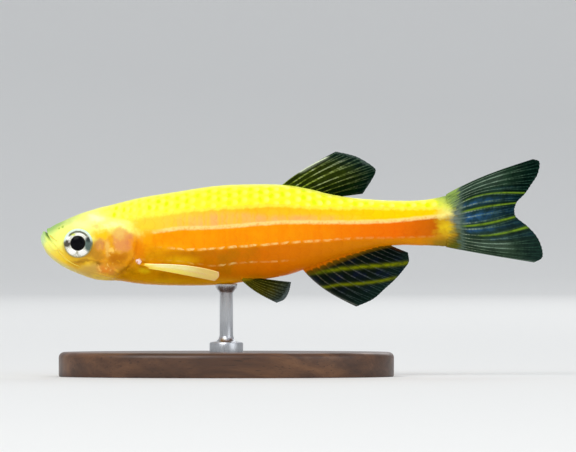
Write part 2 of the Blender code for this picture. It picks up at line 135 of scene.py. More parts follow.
def skinPoint(along, angle, grow=0.0):
    # angle goes round the body: 0 and 180 degrees are the flanks, 90 the back
    back, belly, half = bodySize(along)
    across, rise = np.cos(angle), np.sin(angle)
    power = 2 / fish["roundness"]
    tall = (back - belly) / 2
    across, rise = np.sign(across) * np.abs(across) ** power, np.sign(rise) * np.abs(rise) ** power
    grow = np.maximum(grow, -0.6 * np.minimum(half, tall))
    up = (back + belly) / 2 + (tall + grow) * rise
    return np.stack([along + 0 * up, (half + grow) * across, up], axis=-1)


def archHeight(share):
    # Of the rounded cross section, at a share of the way from its middle to its end
    return (1 - np.clip(share, 0, 1) ** fish["roundness"]) ** (1 / fish["roundness"])


def flank(along, up):
    back, belly, half = bodySize(along)
    return half * archHeight(np.abs(up - (back + belly) / 2) / ((back - belly) / 2))


def underside(along, side):
    back, belly, half = bodySize(along)
    return (back + belly) / 2 - (back - belly) / 2 * archHeight(np.abs(side) / half)


def inWorld(points):
    # From places on the straight fish to metres in the scene, with the tail swung to one side
    points = np.asarray(points, float)
    share = np.clip((points[..., 0] - fish["swingFrom"]) / (fish["length"] - fish["swingFrom"]), 0, None)
    side = points[..., 1] + fish["tailSwing"] * share**2
    moved = [points[..., 0] - fish["length"] / 2, side, points[..., 2] + fish["lipHeight"]]
    return np.stack(moved, axis=-1) / inMetre


def girthTable(rings=150, turns=241, parts=121):
    # The angle at each share of the way round from the back (0) to the belly (1), along the body
    stations = np.linspace(0.05, fish["bodyLength"], rings)
    angles = np.linspace(math.pi / 2, -math.pi / 2, turns)
    ring = skinPoint(stations[:, None], angles[None, :])
    steps = np.linalg.norm(np.diff(ring[..., 1:], axis=1), axis=-1)
    reach = np.concatenate([np.zeros((rings, 1)), np.cumsum(steps, axis=1)], axis=1)
    shares = np.linspace(0, 1, parts)
    return stations, np.array([np.interp(shares * row[-1], row, angles) for row in reach]), reach[:, -1]


girthStations, girthAngles, halfGirths = girthTable()


def angleAtShare(along, share):
    rings, parts = girthAngles.shape
    a = np.clip((along - girthStations[0]) / (girthStations[1] - girthStations[0]), 0, rings - 1.001)
    b = np.clip(np.abs(share), 0, 1) * (parts - 1.001)
    i, j = a.astype(int), b.astype(int)
    a, b = a - i, b - j
    near, far = (girthAngles[k, j] * (1 - b) + girthAngles[k, j + 1] * b for k in (i, i + 1))
    angle = near * (1 - a) + far * a
    return np.where(share < 0, math.pi - angle, angle)


def readVectors(rows, key):
    values = np.empty(len(rows) * 3)
    rows.foreach_get(key, values)
    return values.reshape(-1, 3)


def writePoints(mesh, points):
    mesh.vertices.foreach_set("co", np.asarray(points, np.float32).ravel())
    mesh.update()


def writeValues(mesh, fields):
    # Smooth fields, one number for each vertex, which the materials read by name
    for name, values in fields.items():
        filled = np.array(np.broadcast_to(np.ravel(values), len(mesh.vertices)), np.float32)
        mesh.attributes.new(name, "FLOAT", "POINT").data.foreach_set("value", filled)


def meshFrom(bm, name):
    mesh = bpy.data.meshes.new(name)
    bm.to_mesh(mesh)
    bm.free()
    return mesh


def turnFacesOut(mesh):
    bm = bmesh.new()
    bm.from_mesh(mesh)
    bmesh.ops.recalc_face_normals(bm, faces=bm.faces)
    bm.to_mesh(mesh)
    bm.free()


def spun(profile, steps):
    # A profile of radius and height, in metres, spun round the upright axis
    bm = bmesh.new()
    verts = [bm.verts.new((radius, 0, height)) for radius, height in profile]
    for a, b in zip(verts, verts[1:]):
        bm.edges.new((a, b))
    turned = bm.verts[:] + bm.edges[:]
    bmesh.ops.spin(
        bm, geom=turned, cent=(0, 0, 0), axis=(0, 0, 1), angle=math.tau, steps=steps, use_merge=True
    )
    bmesh.ops.remove_doubles(bm, verts=bm.verts, dist=1e-6)
    bmesh.ops.recalc_face_normals(bm, faces=bm.faces)
    return bm


def addPiece(name, mesh, material, nodes=()):
    # Puts a finished mesh in the scene as one piece of the model
    piece = bpy.data.objects.new(name, mesh)
    bpy.context.scene.collection.objects.link(piece)
    mesh.materials.clear()
    mesh.materials.append(material)
    mesh.shade_smooth()
    if nodes:
        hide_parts(*nodes)
    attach(piece, "root")
    return piece


def applyModifiers(piece):
    bpy.context.view_layer.update()
    mesh = bpy.data.meshes.new_from_object(piece.evaluated_get(bpy.context.evaluated_depsgraph_get()))
    piece.modifiers.clear()
    old, piece.data = piece.data, mesh
    bpy.data.meshes.remove(old)
    mesh.name = piece.name


markings = {  # where the stripes and bands run: along, up
    "yellowEdge": [
        (7.0, 1.5), (9.8, 2.0), (12.4, 2.35), (15.8, 2.6), (18.5, 2.8), (21.5, 2.9), (24.0, 2.7),
        (36.8, 2.64),
    ],
    "paleStripe": [
        (9.8, 0.55), (10.7, 0.6), (12.0, 0.84), (13.5, 0.9), (15.8, 0.95), (17.6, 1.12), (20.0, 1.29),
        (21.8, 1.41), (28.2, 1.42), (31.8, 1.56), (33.5, 1.74), (36.8, 2.06),
    ],
    "dottedStripe": [
        (9.8, -0.75), (11.5, -0.9), (14.0, -1.03), (16.0, -0.9), (18.5, -0.7), (20.5, -0.56), (22.5, -0.4),
        (25.0, -0.24), (28.0, -0.03), (32.0, 0.05), (36.8, 0.2),
    ],
    "bellyStripe": [(9.8, -1.9), (12.5, -2.1), (15.4, -2.48), (18.0, -2.2), (21.0, -2.08), (36.8, -1.4)],
}


def paintMarks(mesh, points, scaleAlong=1.0, scaleMiddle=1.0):
    # The fields that the skin, the scales and the fins' roots all take their colours from
    along, up = points[:, 0], points[:, 2]
    back, belly, _ = bodySize(along)
    writeValues(mesh, {
        "scaleAlong": scaleAlong, "scaleMiddle": scaleMiddle, "along": along, "up": up,
        "behindGill": behindGill(along, up), "underBack": back - up, "overBelly": up - belly,
    })
    for name, line in markings.items():
        knots, heights = np.array(line).T
        middle = smoothCurve(knots, heights, np.clip(along, knots[0], knots[-1]))
        writeValues(mesh, {name: up - middle})


def paint(red, green, blue):
    # A colour as a paint chart gives it, 0 to 255, made linear
    chart = (red / 255, green / 255, blue / 255)
    return tuple(c / 12.92 if c <= 0.04045 else ((c + 0.055) / 1.055) ** 2.4 for c in chart) + (1.0,)


class Nodes:
    # Adds nodes to one tree and gives what they work out, each as a Value

    def __init__(self, tree):
        self.tree = tree

    def feed(self, socket, value):
        if isinstance(value, Value):
            self.tree.links.new(value.socket, socket)
        else:
            socket.default_value = value

    def add(self, kind, inputs, output=0, **settings):
        node = self.tree.nodes.new("ShaderNode" + kind)
        for setting, value in settings.items():
            setattr(node, setting, value)
        for key, value in inputs.items():
            self.feed(node.inputs[key], value)
        return Value(self, node.outputs[output])

    def read(self, name):
        # A field of the mesh, 0 where the mesh has none of that name
        return self.add("Attribute", {}, "Fac", attribute_name=name)

    def noise(self, scale, detail=3.0, rough=0.5, stretch=None, shift=(0, 0, 0), at=None):
        # In the object's own coordinates, unless at gives others
        at = at or self.add("TexCoord", {}, "Object")
        if stretch:
            at = self.add("Mapping", {"Vector": at, "Scale": stretch, "Location": shift})
        grain = {"Vector": at, "Scale": scale, "Detail": detail, "Roughness": rough}
        return self.add("TexNoise", grain, "Fac")

    def place(self, along, up, size=(1.0, 1.0), centre=(0.0, 0.0)):
        # A flat place from two fields, measured from a centre and squeezed
        joined = self.add("CombineXYZ", {0: along, 1: up})
        placing = {"Vector": joined, "Location": (*centre, 0), "Scale": (*size, 1)}
        return self.add("Mapping", placing, vector_type="TEXTURE")

    def length(self, vector):
        return self.add("VectorMath", {0: vector}, "Value", operation="LENGTH")

    def spot(self, along, up, centre, size, soft=0.6):
        # 1 inside an oval spot, falling to 0 at its edge
        return self.length(self.place(along, up, size, centre)).step(1.0, 1.0 - soft)

    def spots(self, colour, along, up, spots, tints):
        # Soft oval spots of colour, each laid over those before it
        for centre, size, soft, amount, name in spots:
            colour = (self.spot(along, up, centre, size, soft) * amount).mix(colour, tints[name])
        return colour

    def bump(self, height, distance, strength=0.5):
        relief = {"Height": height, "Distance": distance, "Strength": strength}
        return self.add("Bump", relief, "Normal")


class Value:
    # What a node works out. Arithmetic on it adds more nodes to its tree.

    def __init__(self, nodes, socket):
        self.nodes, self.socket = nodes, socket

    def maths(self, operation, other=0.0):
        return self.nodes.add("Math", {0: self, 1: other}, operation=operation)

    def __add__(self, other):
        return self.maths("ADD", other)

    def __sub__(self, other):
        return self.maths("SUBTRACT", other)

    def __mul__(self, other):
        return self.maths("MULTIPLY", other)

    def __truediv__(self, other):
        return self.maths("DIVIDE", other)

    def __abs__(self):
        return self.maths("ABSOLUTE")

    def most(self, other):
        return self.maths("MAXIMUM", other)

    def step(self, low, high, bottom=0.0, top=1.0):
        # Goes smoothly from bottom at low to top at high
        span = dict(enumerate((self, low, high, bottom, top)))
        return self.nodes.add("MapRange", span, interpolation_type="SMOOTHSTEP")

    def mix(self, under, over, mode="MIX"):
        # The colour under, changed to the colour over as far as this value says
        return self.nodes.add("Mix", {0: self, 6: under, 7: over}, 2, data_type="RGBA", blend_type=mode)

    def ramp(self, stops):
        # Colours of the paint chart, each with its place from 0 to 1
        node = self.nodes.tree.nodes.new("ShaderNodeValToRGB")
        elements = node.color_ramp.elements
        while len(elements) < len(stops):
            elements.new(0.5)
        for element, (place, tint) in zip(elements, stops):
            element.position = place
            element.color = paint(*tint)
        self.nodes.feed(node.inputs[0], self)
        return Value(self.nodes, node.outputs[0])


class Material(Nodes):
    def __init__(self, name, constants):
        self.material = bpy.data.materials.new(name)
        self.material.use_nodes = True
        super().__init__(self.material.node_tree)
        self.fill(constants)

    def fill(self, sockets):
        # Constants and worked-out values, put on the shader's sockets
        shader = self.tree.nodes["Principled BSDF"]
        for name, value in sockets.items():
            self.feed(shader.inputs[name], value)


eye = {
    "along": 3.42, "up": -0.46, "side": 1.43,  # of the eyeball's middle
    "radius": 1.31,  # as seen
    "ballRadius": 1.52, "depth": 0.84,  # of the hidden ball
    "pupil": 0.65,
    "pupilColour": (0.002, 0.002, 0.003, 1),  # linear
    "lensRise": 0.05, "lensGroove": 0.03,
    "turn": 4.0,  # degrees towards the snout
}


def eyeFrame(side):
    # The eye's middle, and its forward, up and outward directions
    turn = math.radians(eye["turn"])
    middle = np.array([eye["along"], eye["side"] * side, eye["up"]])
    forward = np.array([-math.cos(turn), -math.sin(turn) * side, 0.0])
    outward = np.array([-math.sin(turn), math.cos(turn) * side, 0.0])
    return middle, forward, np.array([0.0, 0.0, 1.0]), outward


skinColours = {name: paint(*tint) for name, tint in {
    "backSpot": (226, 244, 0), "backPaleAndHighlight": (255, 255, 130), "edgeLine": (255, 238, 70),
    "rosyBar": (250, 178, 104), "stripe": (255, 226, 138), "lowCloud": (172, 110, 0), "belly": (240, 174, 8),
    "rootOlive": (136, 110, 24), "farShade": (36, 48, 34), "flankOlive": (140, 92, 0),
    "flankLime": (236, 204, 20),
    "snout": (244, 249, 128), "snoutGreen": (206, 232, 128), "snoutTop": (136, 182, 104),
    "lip": (190, 220, 160), "chin": (206, 196, 130), "cheek": (250, 208, 48), "cheekShade": (204, 140, 24),
    "creaseShade": (112, 66, 6), "pale": (255, 255, 158), "cream": (255, 248, 196), "sand": (238, 202, 104),
    "coral": (220, 134, 78), "amber": (222, 120, 0), "golden": (250, 196, 16), "warm": (228, 152, 34),
    "fleck": (255, 206, 104), "opercle": (224, 146, 88), "preopercle": (208, 140, 78),
    "olive": (172, 120, 34), "streak": (240, 192, 96), "brown": (186, 108, 10), "ember": (240, 140, 40),
    "beige": (194, 150, 84), "glint": (255, 226, 222), "nostril": (168, 196, 88), "mouth": (96, 112, 52),
}.items()}

skinRamps = {
    # from the lip (0) to the end of the body (1)
    "back": [(0.15, (251, 253, 84)), (0.4, (252, 253, 52))],
    "upper": [(0.3, (252, 208, 50)), (0.52, (252, 186, 26)), (0.8, (250, 208, 0))],
    "deep": [(0.25, (246, 150, 0)), (0.58, (250, 138, 0)), (0.86, (240, 108, 0)), (0.97, (186, 92, 0))],
    "lower": [(0.26, (210, 142, 0)), (0.38, (186, 112, 0)), (0.56, (220, 112, 0)), (0.9, (216, 132, 0))],
    # from the lower edge of the tail's root (0) to the upper (1); the pale stop at 0.62 is a painted
    # highlight
    "tailRoot": [
        (0.1, (136, 110, 24)), (0.22, (196, 150, 26)), (0.4, (226, 196, 30)), (0.53, (200, 154, 22)),
        (0.62, (250, 236, 132)), (0.76, (222, 230, 92)), (0.94, (168, 192, 84)),
    ],
    "farRoot": [
        (0.1, (88, 90, 26)), (0.32, (100, 106, 70)), (0.5, (106, 120, 112)), (0.68, (106, 120, 112)),
        (0.92, (142, 170, 88)),
    ],
}

skinFilters = {  # linear colours that the others are multiplied by or softly lit with
    "light": (1.0, 0.93, 0.6, 1.0),
    "scaleTone": (0.95, 0.75, 0.3, 1.0),
    "scaleRimShade": (0.86, 0.62, 0.3, 1.0),
}

headPatches = [  # centre (along, up), size, softness, strength, colour
    ((1.5, -0.2), (2.3, 1.7), 0.9, 0.85, "snout"),
    ((0.8, 0.35), (1.3, 0.9), 0.9, 0.7, "snoutGreen"),
    ((1.9, -1.25), (1.3, 0.9), 0.9, 0.6, "cheek"),
    ((2.6, -2.0), (1.5, 0.75), 0.9, 0.6, "cheek"),
    ((3.6, 1.2), (1.9, 0.7), 0.8, 0.8, "pale"),
    ((4.95, 1.75), (1.1, 0.6), 0.9, 0.75, "cream"),
    ((7.1, -1.5), (3.3, 2.6), 0.4, 1.0, "warm"),
    ((4.7, -3.0), (3.2, 0.95), 0.8, 0.75, "beige"),
    ((3.3, -2.25), (1.4, 0.5), 0.9, 0.75, "cheekShade"),
    ((6.5, 1.08), (1.5, 0.42), 0.8, 0.9, "pale"),
    ((5.5, 0.35), (1.2, 0.62), 0.7, 0.95, "golden"),
    ((4.95, 1.0), (0.5, 0.34), 0.9, 0.7, "sand"),
    ((6.9, -1.8), (1.6, 1.1), 0.8, 0.9, "brown"),
    ((8.7, -0.9), (0.7, 1.5), 0.8, 0.85, "amber"),
    ((7.44, -0.15), (1.2, 1.15), 0.5, 0.8, "opercle"),
    ((7.1, 0.3), (0.75, 0.6), 0.9, 0.6, "sand"),
    ((8.05, -0.4), (0.6, 0.85), 0.8, 0.9, "coral"),
    ((5.28, -0.5), (0.55, 0.95), 0.7, 0.85, "preopercle"),
    ((4.95, -1.55), (0.9, 0.7), 0.8, 0.75, "olive"),
    ((5.95, -0.85), (0.42, 1.1), 0.8, 0.8, "streak"),
    ((6.45, -1.05), (0.42, 0.3), 0.6, 0.8, "fleck"),
    ((5.8, -2.85), (1.2, 0.7), 0.9, 0.85, "ember"),
    # painted shade along the groove under the eye, and in a crease below it
    ((4.0, -2.05), (1.3, 0.24), 0.8, 0.8, "olive"),
    ((5.0, -2.3), (0.7, 0.4), 0.95, 0.7, "creaseShade"),
    ((8.1, -2.3), (0.55, 0.5), 0.9, 0.75, "amber"),
    # painted shade in the crease under the gill cover's lower edge
    ((7.7, -2.95), (0.9, 0.5), 0.9, 0.7, "creaseShade"),
    ((8.75, -2.75), (0.7, 0.4), 0.8, 0.7, "golden"),
]
flankPatches = [  # behind the gill cover, listed as the head's are
    ((8.8, -1.1), (1.0, 1.5), 0.8, 0.7, "amber"),
    ((9.3, -2.9), (0.75, 0.45), 0.9, 0.6, "flankLime"),
    ((8.25, -3.1), (0.6, 0.36), 0.9, 0.45, "flankOlive"),
    ((12.6, -2.0), (2.4, 0.65), 0.95, 0.4, "flankLime"),
    ((11.2, -3.9), (2.2, 0.4), 0.95, 0.25, "flankLime"),
]


def makeMarkings():
    # The danio's colours from the smooth fields, as one group of nodes
    tree = bpy.data.node_groups.new("danioMarkings", "ShaderNodeTree")
    tree.interface.new_socket("Color", in_out="OUTPUT", socket_type="NodeSocketColor")
    nodes, tints = Nodes(tree), skinColours
    along, up = nodes.read("along"), nodes.read("up")
    share = along / fish["bodyLength"]
    wobble = nodes.noise(1400, 4, 0.6) - 0.5
    fine = nodes.noise(4200, 3, 0.6)
    clouds = nodes.noise(480, 4, 0.6)
    bent = along + wobble * 0.6
    edge = nodes.read("yellowEdge") + wobble * 0.5
    pale = nodes.read("paleStripe") + wobble * 0.22
    dots = nodes.read("dottedStripe") + wobble * 0.2
    low = nodes.read("bellyStripe") + wobble * 0.3
    deep, lower, upper, back = (share.ramp(skinRamps[name]) for name in ("deep", "lower", "upper", "back"))

    # rosy upright bars on the front half of the upper band, two to each column of scales
    column = (bent / 0.47).maths("FRACT")
    upright = nodes.noise(1250, 2, 0.5, (1.0, 0.1, 0.14)).step(0.42, 0.6)
    bars = abs(column - 0.5).step(0.36, 0.12, 0.25, 0.6).most(upright)
    bars = bars * clouds.step(0.35, 0.6, 0.6, 1.0) * 0.75 + 0.12
    bars = bars * (pale - share.step(0.42, 0.58, 1.0, 0.0)).step(0.85, 0.3, 0.1, 1.0)
    bars = bars * share.step(0.82, 0.62) * share.step(0.26, 0.42) * edge.step(-0.1, -0.75, 0.15, 1.0)
    upper = bars.mix(upper, tints["rosyBar"])
    deep = (bars * 0.16).mix(deep, tints["golden"])

    # greener spots where the scales on the back are rooted, and paler ones behind them
    root, middle = nodes.read("scaleAlong"), nodes.read("scaleMiddle")
    behindRoot = nodes.spot(root, middle, (0.88, 0.0), (0.36, 0.95), 0.9) * share.step(0.45, 0.65, 0.3, 0.6)
    back = behindRoot.mix(back, tints["backPaleAndHighlight"])
    atRoot = nodes.spot(root + wobble * 0.5, middle, (0.44, 0.0), (0.28, 1.05), 0.8)
    back = (atRoot * nodes.read("scaleTone").step(0.1, 1.0, 1.0, 0.5)).mix(back, tints["backSpot"])

    # the bands, from the belly to the back
    shade = clouds.step(0.42, 0.62) * share.step(0.62, 0.42, 0.0, 0.6)
    lower = shade.mix(lower, tints["lowCloud"])
    sheen = clouds.step(0.58, 0.4) * share.step(0.45, 0.25, 0.0, 0.3)
    deep = sheen.mix(deep, tints["golden"])
    lifted = dots + bent.step(10.2, 8.0, 0.0, 0.8)
    inDeep = lifted.step(along.step(9.0, 12.5, -1.3, -0.3), along.step(9.0, 12.5, 0.6, 0.12))
    base = inDeep.mix(lower, deep)
    base = (up.step(-3.2, -4.2) * 0.8).mix(base, tints["belly"])
    inUpper = pale.step(along.step(9.0, 11.5, -0.8, -0.04), along.step(9.0, 11.5, 0.6, 0.12))
    base = inUpper.mix(base, upper)
    base = edge.step(along.step(8.0, 14.0, -0.5, -0.26), 0.34).mix(base, back)
    base = (abs(edge).step(0.22, 0.05) * 0.6).mix(base, tints["edgeLine"])
    base = nodes.spots(base, along + (fine - 0.5) * 1.2, up, flankPatches, tints)

    # the pale stripe, whole, and the dotted ones, broken at each scale
    whole = abs(pale).step(0.26, 0.07, 0.0, 0.82) * fine.step(0.3, 0.55, 0.55, 1.0)
    whole = whole * (along + wobble * 6.0).step(8.6, 11.4)
    dashes = root.step(0.3, 0.62)
    dotted = abs(dots).step(0.15, 0.04) * dashes * along.step(10.0, 13.5, 0.0, 0.72)
    dotted = dotted * along.step(32.0, 19.0, 0.14, 1.0) * fine.step(0.32, 0.58, 0.35, 1.0)
    lowest = abs(low).step(0.13, 0.04) * dashes * along.step(11.0, 17.0, 0.1, 0.5)
    lowest = lowest * along.step(23.0, 20.0) * clouds.step(0.45, 0.6, 0.25, 1.0)
    base = whole.most(dotted.most(lowest)).mix(base, tints["stripe"])

    # the tail's root, where the bands end in a ragged patch, grey-green above and olive below
    streaks = nodes.noise(1500, 3, 0.6, (0.22, 1.0, 1.0))
    height = (up + 1.0 + wobble * 0.9) * 0.2
    farRoot = streaks.step(0.5, 0.36, 0.0, 0.55).mix(height.ramp(skinRamps["farRoot"]), tints["farShade"])
    reach = along + (streaks - 0.5) * 2.0 + wobble * 1.2 + up.step(3.2, 4.1, 0.0, 1.7)
    base = reach.step(34.9, 36.3, 0.0, 0.97).mix(base, height.ramp(skinRamps["tailRoot"]))
    base = (reach.step(33.8, 35.4) * up.step(0.2, -0.45, 0.0, 0.85)).mix(base, tints["rootOlive"])
    base = reach.step(36.2, 37.3).mix(base, farRoot)

    # the head, painted as overlapping soft patches
    bentAlong, bentUp = along, up
    for scale, amount in ((700, 1.0), (2300, 0.45)):
        bentAlong = bentAlong + (nodes.noise(scale, 2, 0.5) - 0.5) * amount
        bentUp = bentUp + (nodes.noise(scale, 2, 0.5, (1, 1, 1), (9, 5, 3)) - 0.5) * amount
    head = up.step(-2.2, 0.4).mix(tints["cheek"], tints["snout"])
    head = nodes.spots(head, bentAlong, bentUp, headPatches, tints)
    underBack = nodes.read("underBack")
    green = underBack.step(0.85, 0.1) * bentAlong.step(4.3, 1.3, 0.0, 0.85)
    head = green.mix(head, tints["snoutTop"])
    chin = nodes.read("overBelly").step(0.6, 0.05) * along.step(4.4, 1.8, 0.25, 0.95)
    head = chin.mix(head, tints["chin"])
    head = nodes.spot(along, up, (0.05, -0.1), (0.6, 1.1), 0.8).mix(head, tints["lip"])
    orbit = nodes.spot(along, up, (eye["along"] + 0.1, eye["up"] - 0.05), (1.8, 1.74), 0.35)
    head = (orbit * up.step(0.1, -1.1)).mix(head, tints["olive"])
    mottle = nodes.noise(1900, 4, 0.65).step(0.5, 0.72, 0.0, 0.3) * along.step(4.2, 5.6)
    head = mottle.mix(head, tints["golden"])
    flecked = nodes.spot(along, up, (6.1, -0.8), (0.9, 1.1))
    flecked = flecked.most(nodes.spot(along, up, (5.8, -2.6), (1.1, 0.8)))
    flecks = nodes.noise(2300, 2, 0.6).step(0.52, 0.68, 0.0, 0.75) * flecked
    head = flecks.mix(head, tints["fleck"])
    ruff = nodes.read("behindGill") + wobble * 2.2 + up.step(1.3, 2.1, 0.0, 2.3)
    base = ruff.step(-1.0, 0.8).mix(head, base)

    # last, what lies over head and body alike
    jagged = (nodes.noise(3000, 1, 0.5) - 0.5) * 0.9
    glint = nodes.spot(along + jagged, up - jagged, (8.74, -2.02), (0.26, 0.32), 0.7)
    base = glint.mix(base, tints["glint"])
    # a painted highlight along the ridge of the back, from behind the head to near the tail's root
    rim = underBack.step(0.4, 0.05) * along.step(3.0, 6.0, 0.0, 0.5) * along.step(34.2, 36.4, 1.0, 0.0)
    base = rim.mix(base, tints["backPaleAndHighlight"])
    # painted shade, darker in the nostril pits and along the mouth's groove
    for name in ("nostril", "mouth"):
        base = nodes.read(name).mix(base, tints[name])
    base = wobble.step(-0.25, 0.25, 0.0, 0.16).mix(base, skinFilters["light"], "SOFT_LIGHT")
    nodes.feed(tree.nodes.new("NodeGroupOutput").inputs[0], base)
    return tree


danioMarkings = makeMarkings()


def markedMaterial(name, roughness, grainScale, grainHeight, scaled):
    # the skin and scales glow faintly in their own colours, a painted light that lifts the shaded belly
    made = Material(name, {
        "Roughness": roughness, "Specular IOR Level": 0.15, "Specular Tint": paint(255, 214, 120),
        "Coat Weight": 0.05, "Coat Roughness": 0.2, "Emission Strength": 0.14,
        "Subsurface Weight": 0.1, "Subsurface Scale": 0.0005, "Subsurface Radius": (1.0, 0.7, 0.25),
    })
    colour = made.add("Group", {}, node_tree=danioMarkings)
    grain = made.noise(grainScale, 3, 0.6)
    if scaled:
        edge, tone = made.read("scaleEdge"), made.read("scaleTone")
        colour = tone.step(0.0, 1.0, 0.0, 0.16).mix(colour, skinFilters["scaleTone"], "MULTIPLY")
        # painted shade, darker along each scale's free edge
        colour = edge.step(0.86, 1.0, 0.0, 0.22).mix(colour, skinFilters["scaleRimShade"], "MULTIPLY")
        grain = grain + (edge * 60.0).maths("SINE") * 0.35  # growth rings
    made.fill({"Base Color": colour, "Emission Color": colour, "Normal": made.bump(grain, grainHeight, 0.6)})
    return made.material


skinMaterial = markedMaterial("danioSkin", 0.42, 5200, 0.000016, False)
scaleMaterial = markedMaterial("danioScale", 0.4, 6500, 0.000006, True)
print("markings and skin materials ready")


skinShape = {
    "rings": 340, "sides": 224,
    "mouthDepth": 0.26, "mouthWidth": 0.075, "lipRise": 0.1,
    "jawDepth": 0.035, "jawRise": 0.05,
    "gillDepth": 0.15, "gillRise": 0.09,
    "orbitRadius": 1.43, "orbitRise": 0.04, "orbitDepth": 0.7,
    "unevenness": 0.012,
    "tailBulge": 0.25,
    "nostrilRim": 0.04,
    "nostrils": [(1.66, 0.86, 0.1, 0.09), (1.98, 1.0, 0.12, 0.1)],  # along, up, radius, depth
    "creases": [  # height, width, line
        # on the gill cover, its front edge with a groove behind it
        (0.05, 0.13, fish["coverFront"]),
        (-0.06, 0.1, [(along + 0.22, up + 0.06) for along, up in fish["coverFront"]]),
        (-0.05, 0.12, [(6.0, 1.15), (7.0, 1.35), (8.1, 1.1)]),
        # rays of the gill membrane, low on the throat
        *[(0.035, 0.08, [(4.6 + s, -3.05 - 0.25 * s), (6.6 + s, -3.62)]) for s in (0.0, 0.35, 0.7)],
        # canals of the head
        (-0.03, 0.1, [(2.4, 1.25), (3.6, 1.25), (4.8, 0.95), (6.2, 1.5)]),
        (-0.03, 0.12, [(2.0, -1.7), (3.2, -2.15), (4.4, -2.15), (5.1, -1.5)]),
    ],
}


def shapeSkin():
    shape = skinShape
    bm = bmesh.new()
    bmesh.ops.create_uvsphere(bm, u_segments=shape["sides"], v_segments=shape["rings"], radius=1.0)
    mesh = meshFrom(bm, "danioSkin")
    ball = readVectors(mesh.vertices, "co")
    last = shape["rings"]
    ring = np.round(np.arccos(np.clip(ball[:, 2], -1, 1)) / math.pi * last)
    angle = np.arctan2(ball[:, 0], ball[:, 1])
    along = fish["bodyLength"] * (np.clip(ring, 0, last - 1) / (last - 1)) ** 2
    points = skinPoint(along, angle)
    onNape = 2.6 * easeIn(points[:, 2], 1.2, 1.8)  # the scales reach further forward there
    scaled = easeIn(behindGill(points[:, 0], points[:, 2]) + onNape, 0.0, 1.0) * easeIn(along, 5.5, 6.4)
    points = skinPoint(along, angle, -fish["scaleDepth"] * scaled)
    points[ring == 0] = (0, 0, 0)
    points[ring == last] = (fish["bodyLength"] + shape["tailBulge"], 0, 1.5)
    writePoints(mesh, inWorld(points))
    normals = readVectors(mesh.vertex_normals, "vector")
    along, side, up = points.T
    behind = behindGill(along, up)

    # mouth, with a lip on each side of it, and the jaw's fold
    mouth = distanceTo(fish["mouthLine"], along, up)
    closing = 1 - 0.9 * easeIn(along, 0.5, 1.15)
    relief = shape["lipRise"] * bump(mouth - 0.2, 0.13)
    relief -= shape["mouthDepth"] * bump(mouth, shape["mouthWidth"]) * closing
    jaw = distanceTo(fish["jawLine"], along, up)
    relief -= shape["jawDepth"] * bump(jaw, 0.1) * window(along, 1.3, 1.6, 2.4, 4.2)
    relief += shape["jawRise"] * bump(jaw - 0.25, 0.2) * window(along, 1.2, 1.6, 2.0, 3.6)

    # nostrils, two a side with a raised rim
    nostril = np.zeros(len(along))
    for place, height, radius, depth in shape["nostrils"]:
        gap = np.hypot(along - place, up - height) * np.where(np.abs(side) > 0.3, 1, 9)
        relief += shape["nostrilRim"] * bump(gap - radius * 1.35, 0.07) - depth * bump(gap, radius * 0.8)
        nostril = np.maximum(nostril, 1 - easeIn(gap, radius * 0.5, radius * 1.05))

    # gill cover: a raised plate with a free rear edge over the gill opening
    covered = easeIn(along, 5.1, 5.5) * (1 - easeIn(behind, -0.12, 0.0)) * window(up, -3.5, -2.9, 0.9, 1.4)
    relief += shape["gillRise"] * covered * (0.45 + 0.55 * easeIn(behind, -3.0, -0.4))
    steep, slack = np.minimum(behind - 0.1, 0) / 0.09, np.maximum(behind - 0.1, 0) / 0.32
    relief -= shape["gillDepth"] * bump(steep + slack, 1.0) * window(up, -4.0, -3.4, 1.0, 1.7)
    for height, width, line in shape["creases"]:
        relief += height * bump(distanceTo(line, along, up), width)
    swell = np.sin(along * 5.1 + up * 2.3) * np.sin(up * 4.7 - along * 1.9)
    relief += shape["unevenness"] * swell * (1 - easeIn(along, 6, 9))
    world = inWorld(points) + normals * relief[:, None] / inMetre

    # an orbit round each eye, level with the eyeball's rim
    rimLevel = eye["depth"] * math.sqrt(1 - (eye["radius"] / eye["ballRadius"]) ** 2)
    for half in (-1, 1):
        middle, forward, above, outward = eyeFrame(half)
        offset = (world - inWorld(middle)) * inMetre
        radius, level = np.hypot(offset @ forward, offset @ above), offset @ outward
        near = (1 - easeIn(radius, 1.42, 1.95)) * (level > -0.6)
        target = rimLevel + shape["orbitRise"] * bump(radius - shape["orbitRadius"], 0.09)
        target -= shape["orbitDepth"] * (1 - easeIn(radius, 0.95, 1.27))
        world += (near * (target - level))[:, None] * outward / inMetre
    writePoints(mesh, world)
    paintMarks(mesh, points)
    # where the nostrils and the mouth's groove get their painted shade
    writeValues(mesh, {"nostril": nostril, "mouth": bump(mouth, 0.08) * closing * 0.85})
    return mesh


fleshNodes = ["head", "lower_jaw", "gill_cover_left", "gill_cover_right", "trunk", "tail_stalk"]
skin = addPiece("skin", shapeSkin(), skinMaterial, fleshNodes)
print("skin:", len(skin.data.polygons), "faces")


scales = {
    "pitch": 0.94,  # between columns, along the fish
    "rowPitch": 0.86,
    "length": 1.4,
    "width": 0.6,  # half width, in row pitches
    "thickness": 0.012,  # at the root, thinning to a quarter at the free edge
    "rise": 0.03,  # from a scale's root to its rear edge
    "lap": 0.009,  # how far each row lies over the next
    "unevenness": 0.03,
    "frontLength": 0.66, "frontPitch": 0.74,  # shares of the full length and pitch, behind the head
    "growing": (6.0, 14.0),  # where both come up to the full size
    "firstColumn": 5.6,
    "lastColumn": 36.0,
    "firstGap": 0.05,  # behind the gill opening
    "napeGap": -2.4,  # the same above napeHeight
    "napeHeight": 1.3,
    "mapLength": 37.5,  # of the fish that the map's width stands for
    "mapPatch": 0.0015,
}


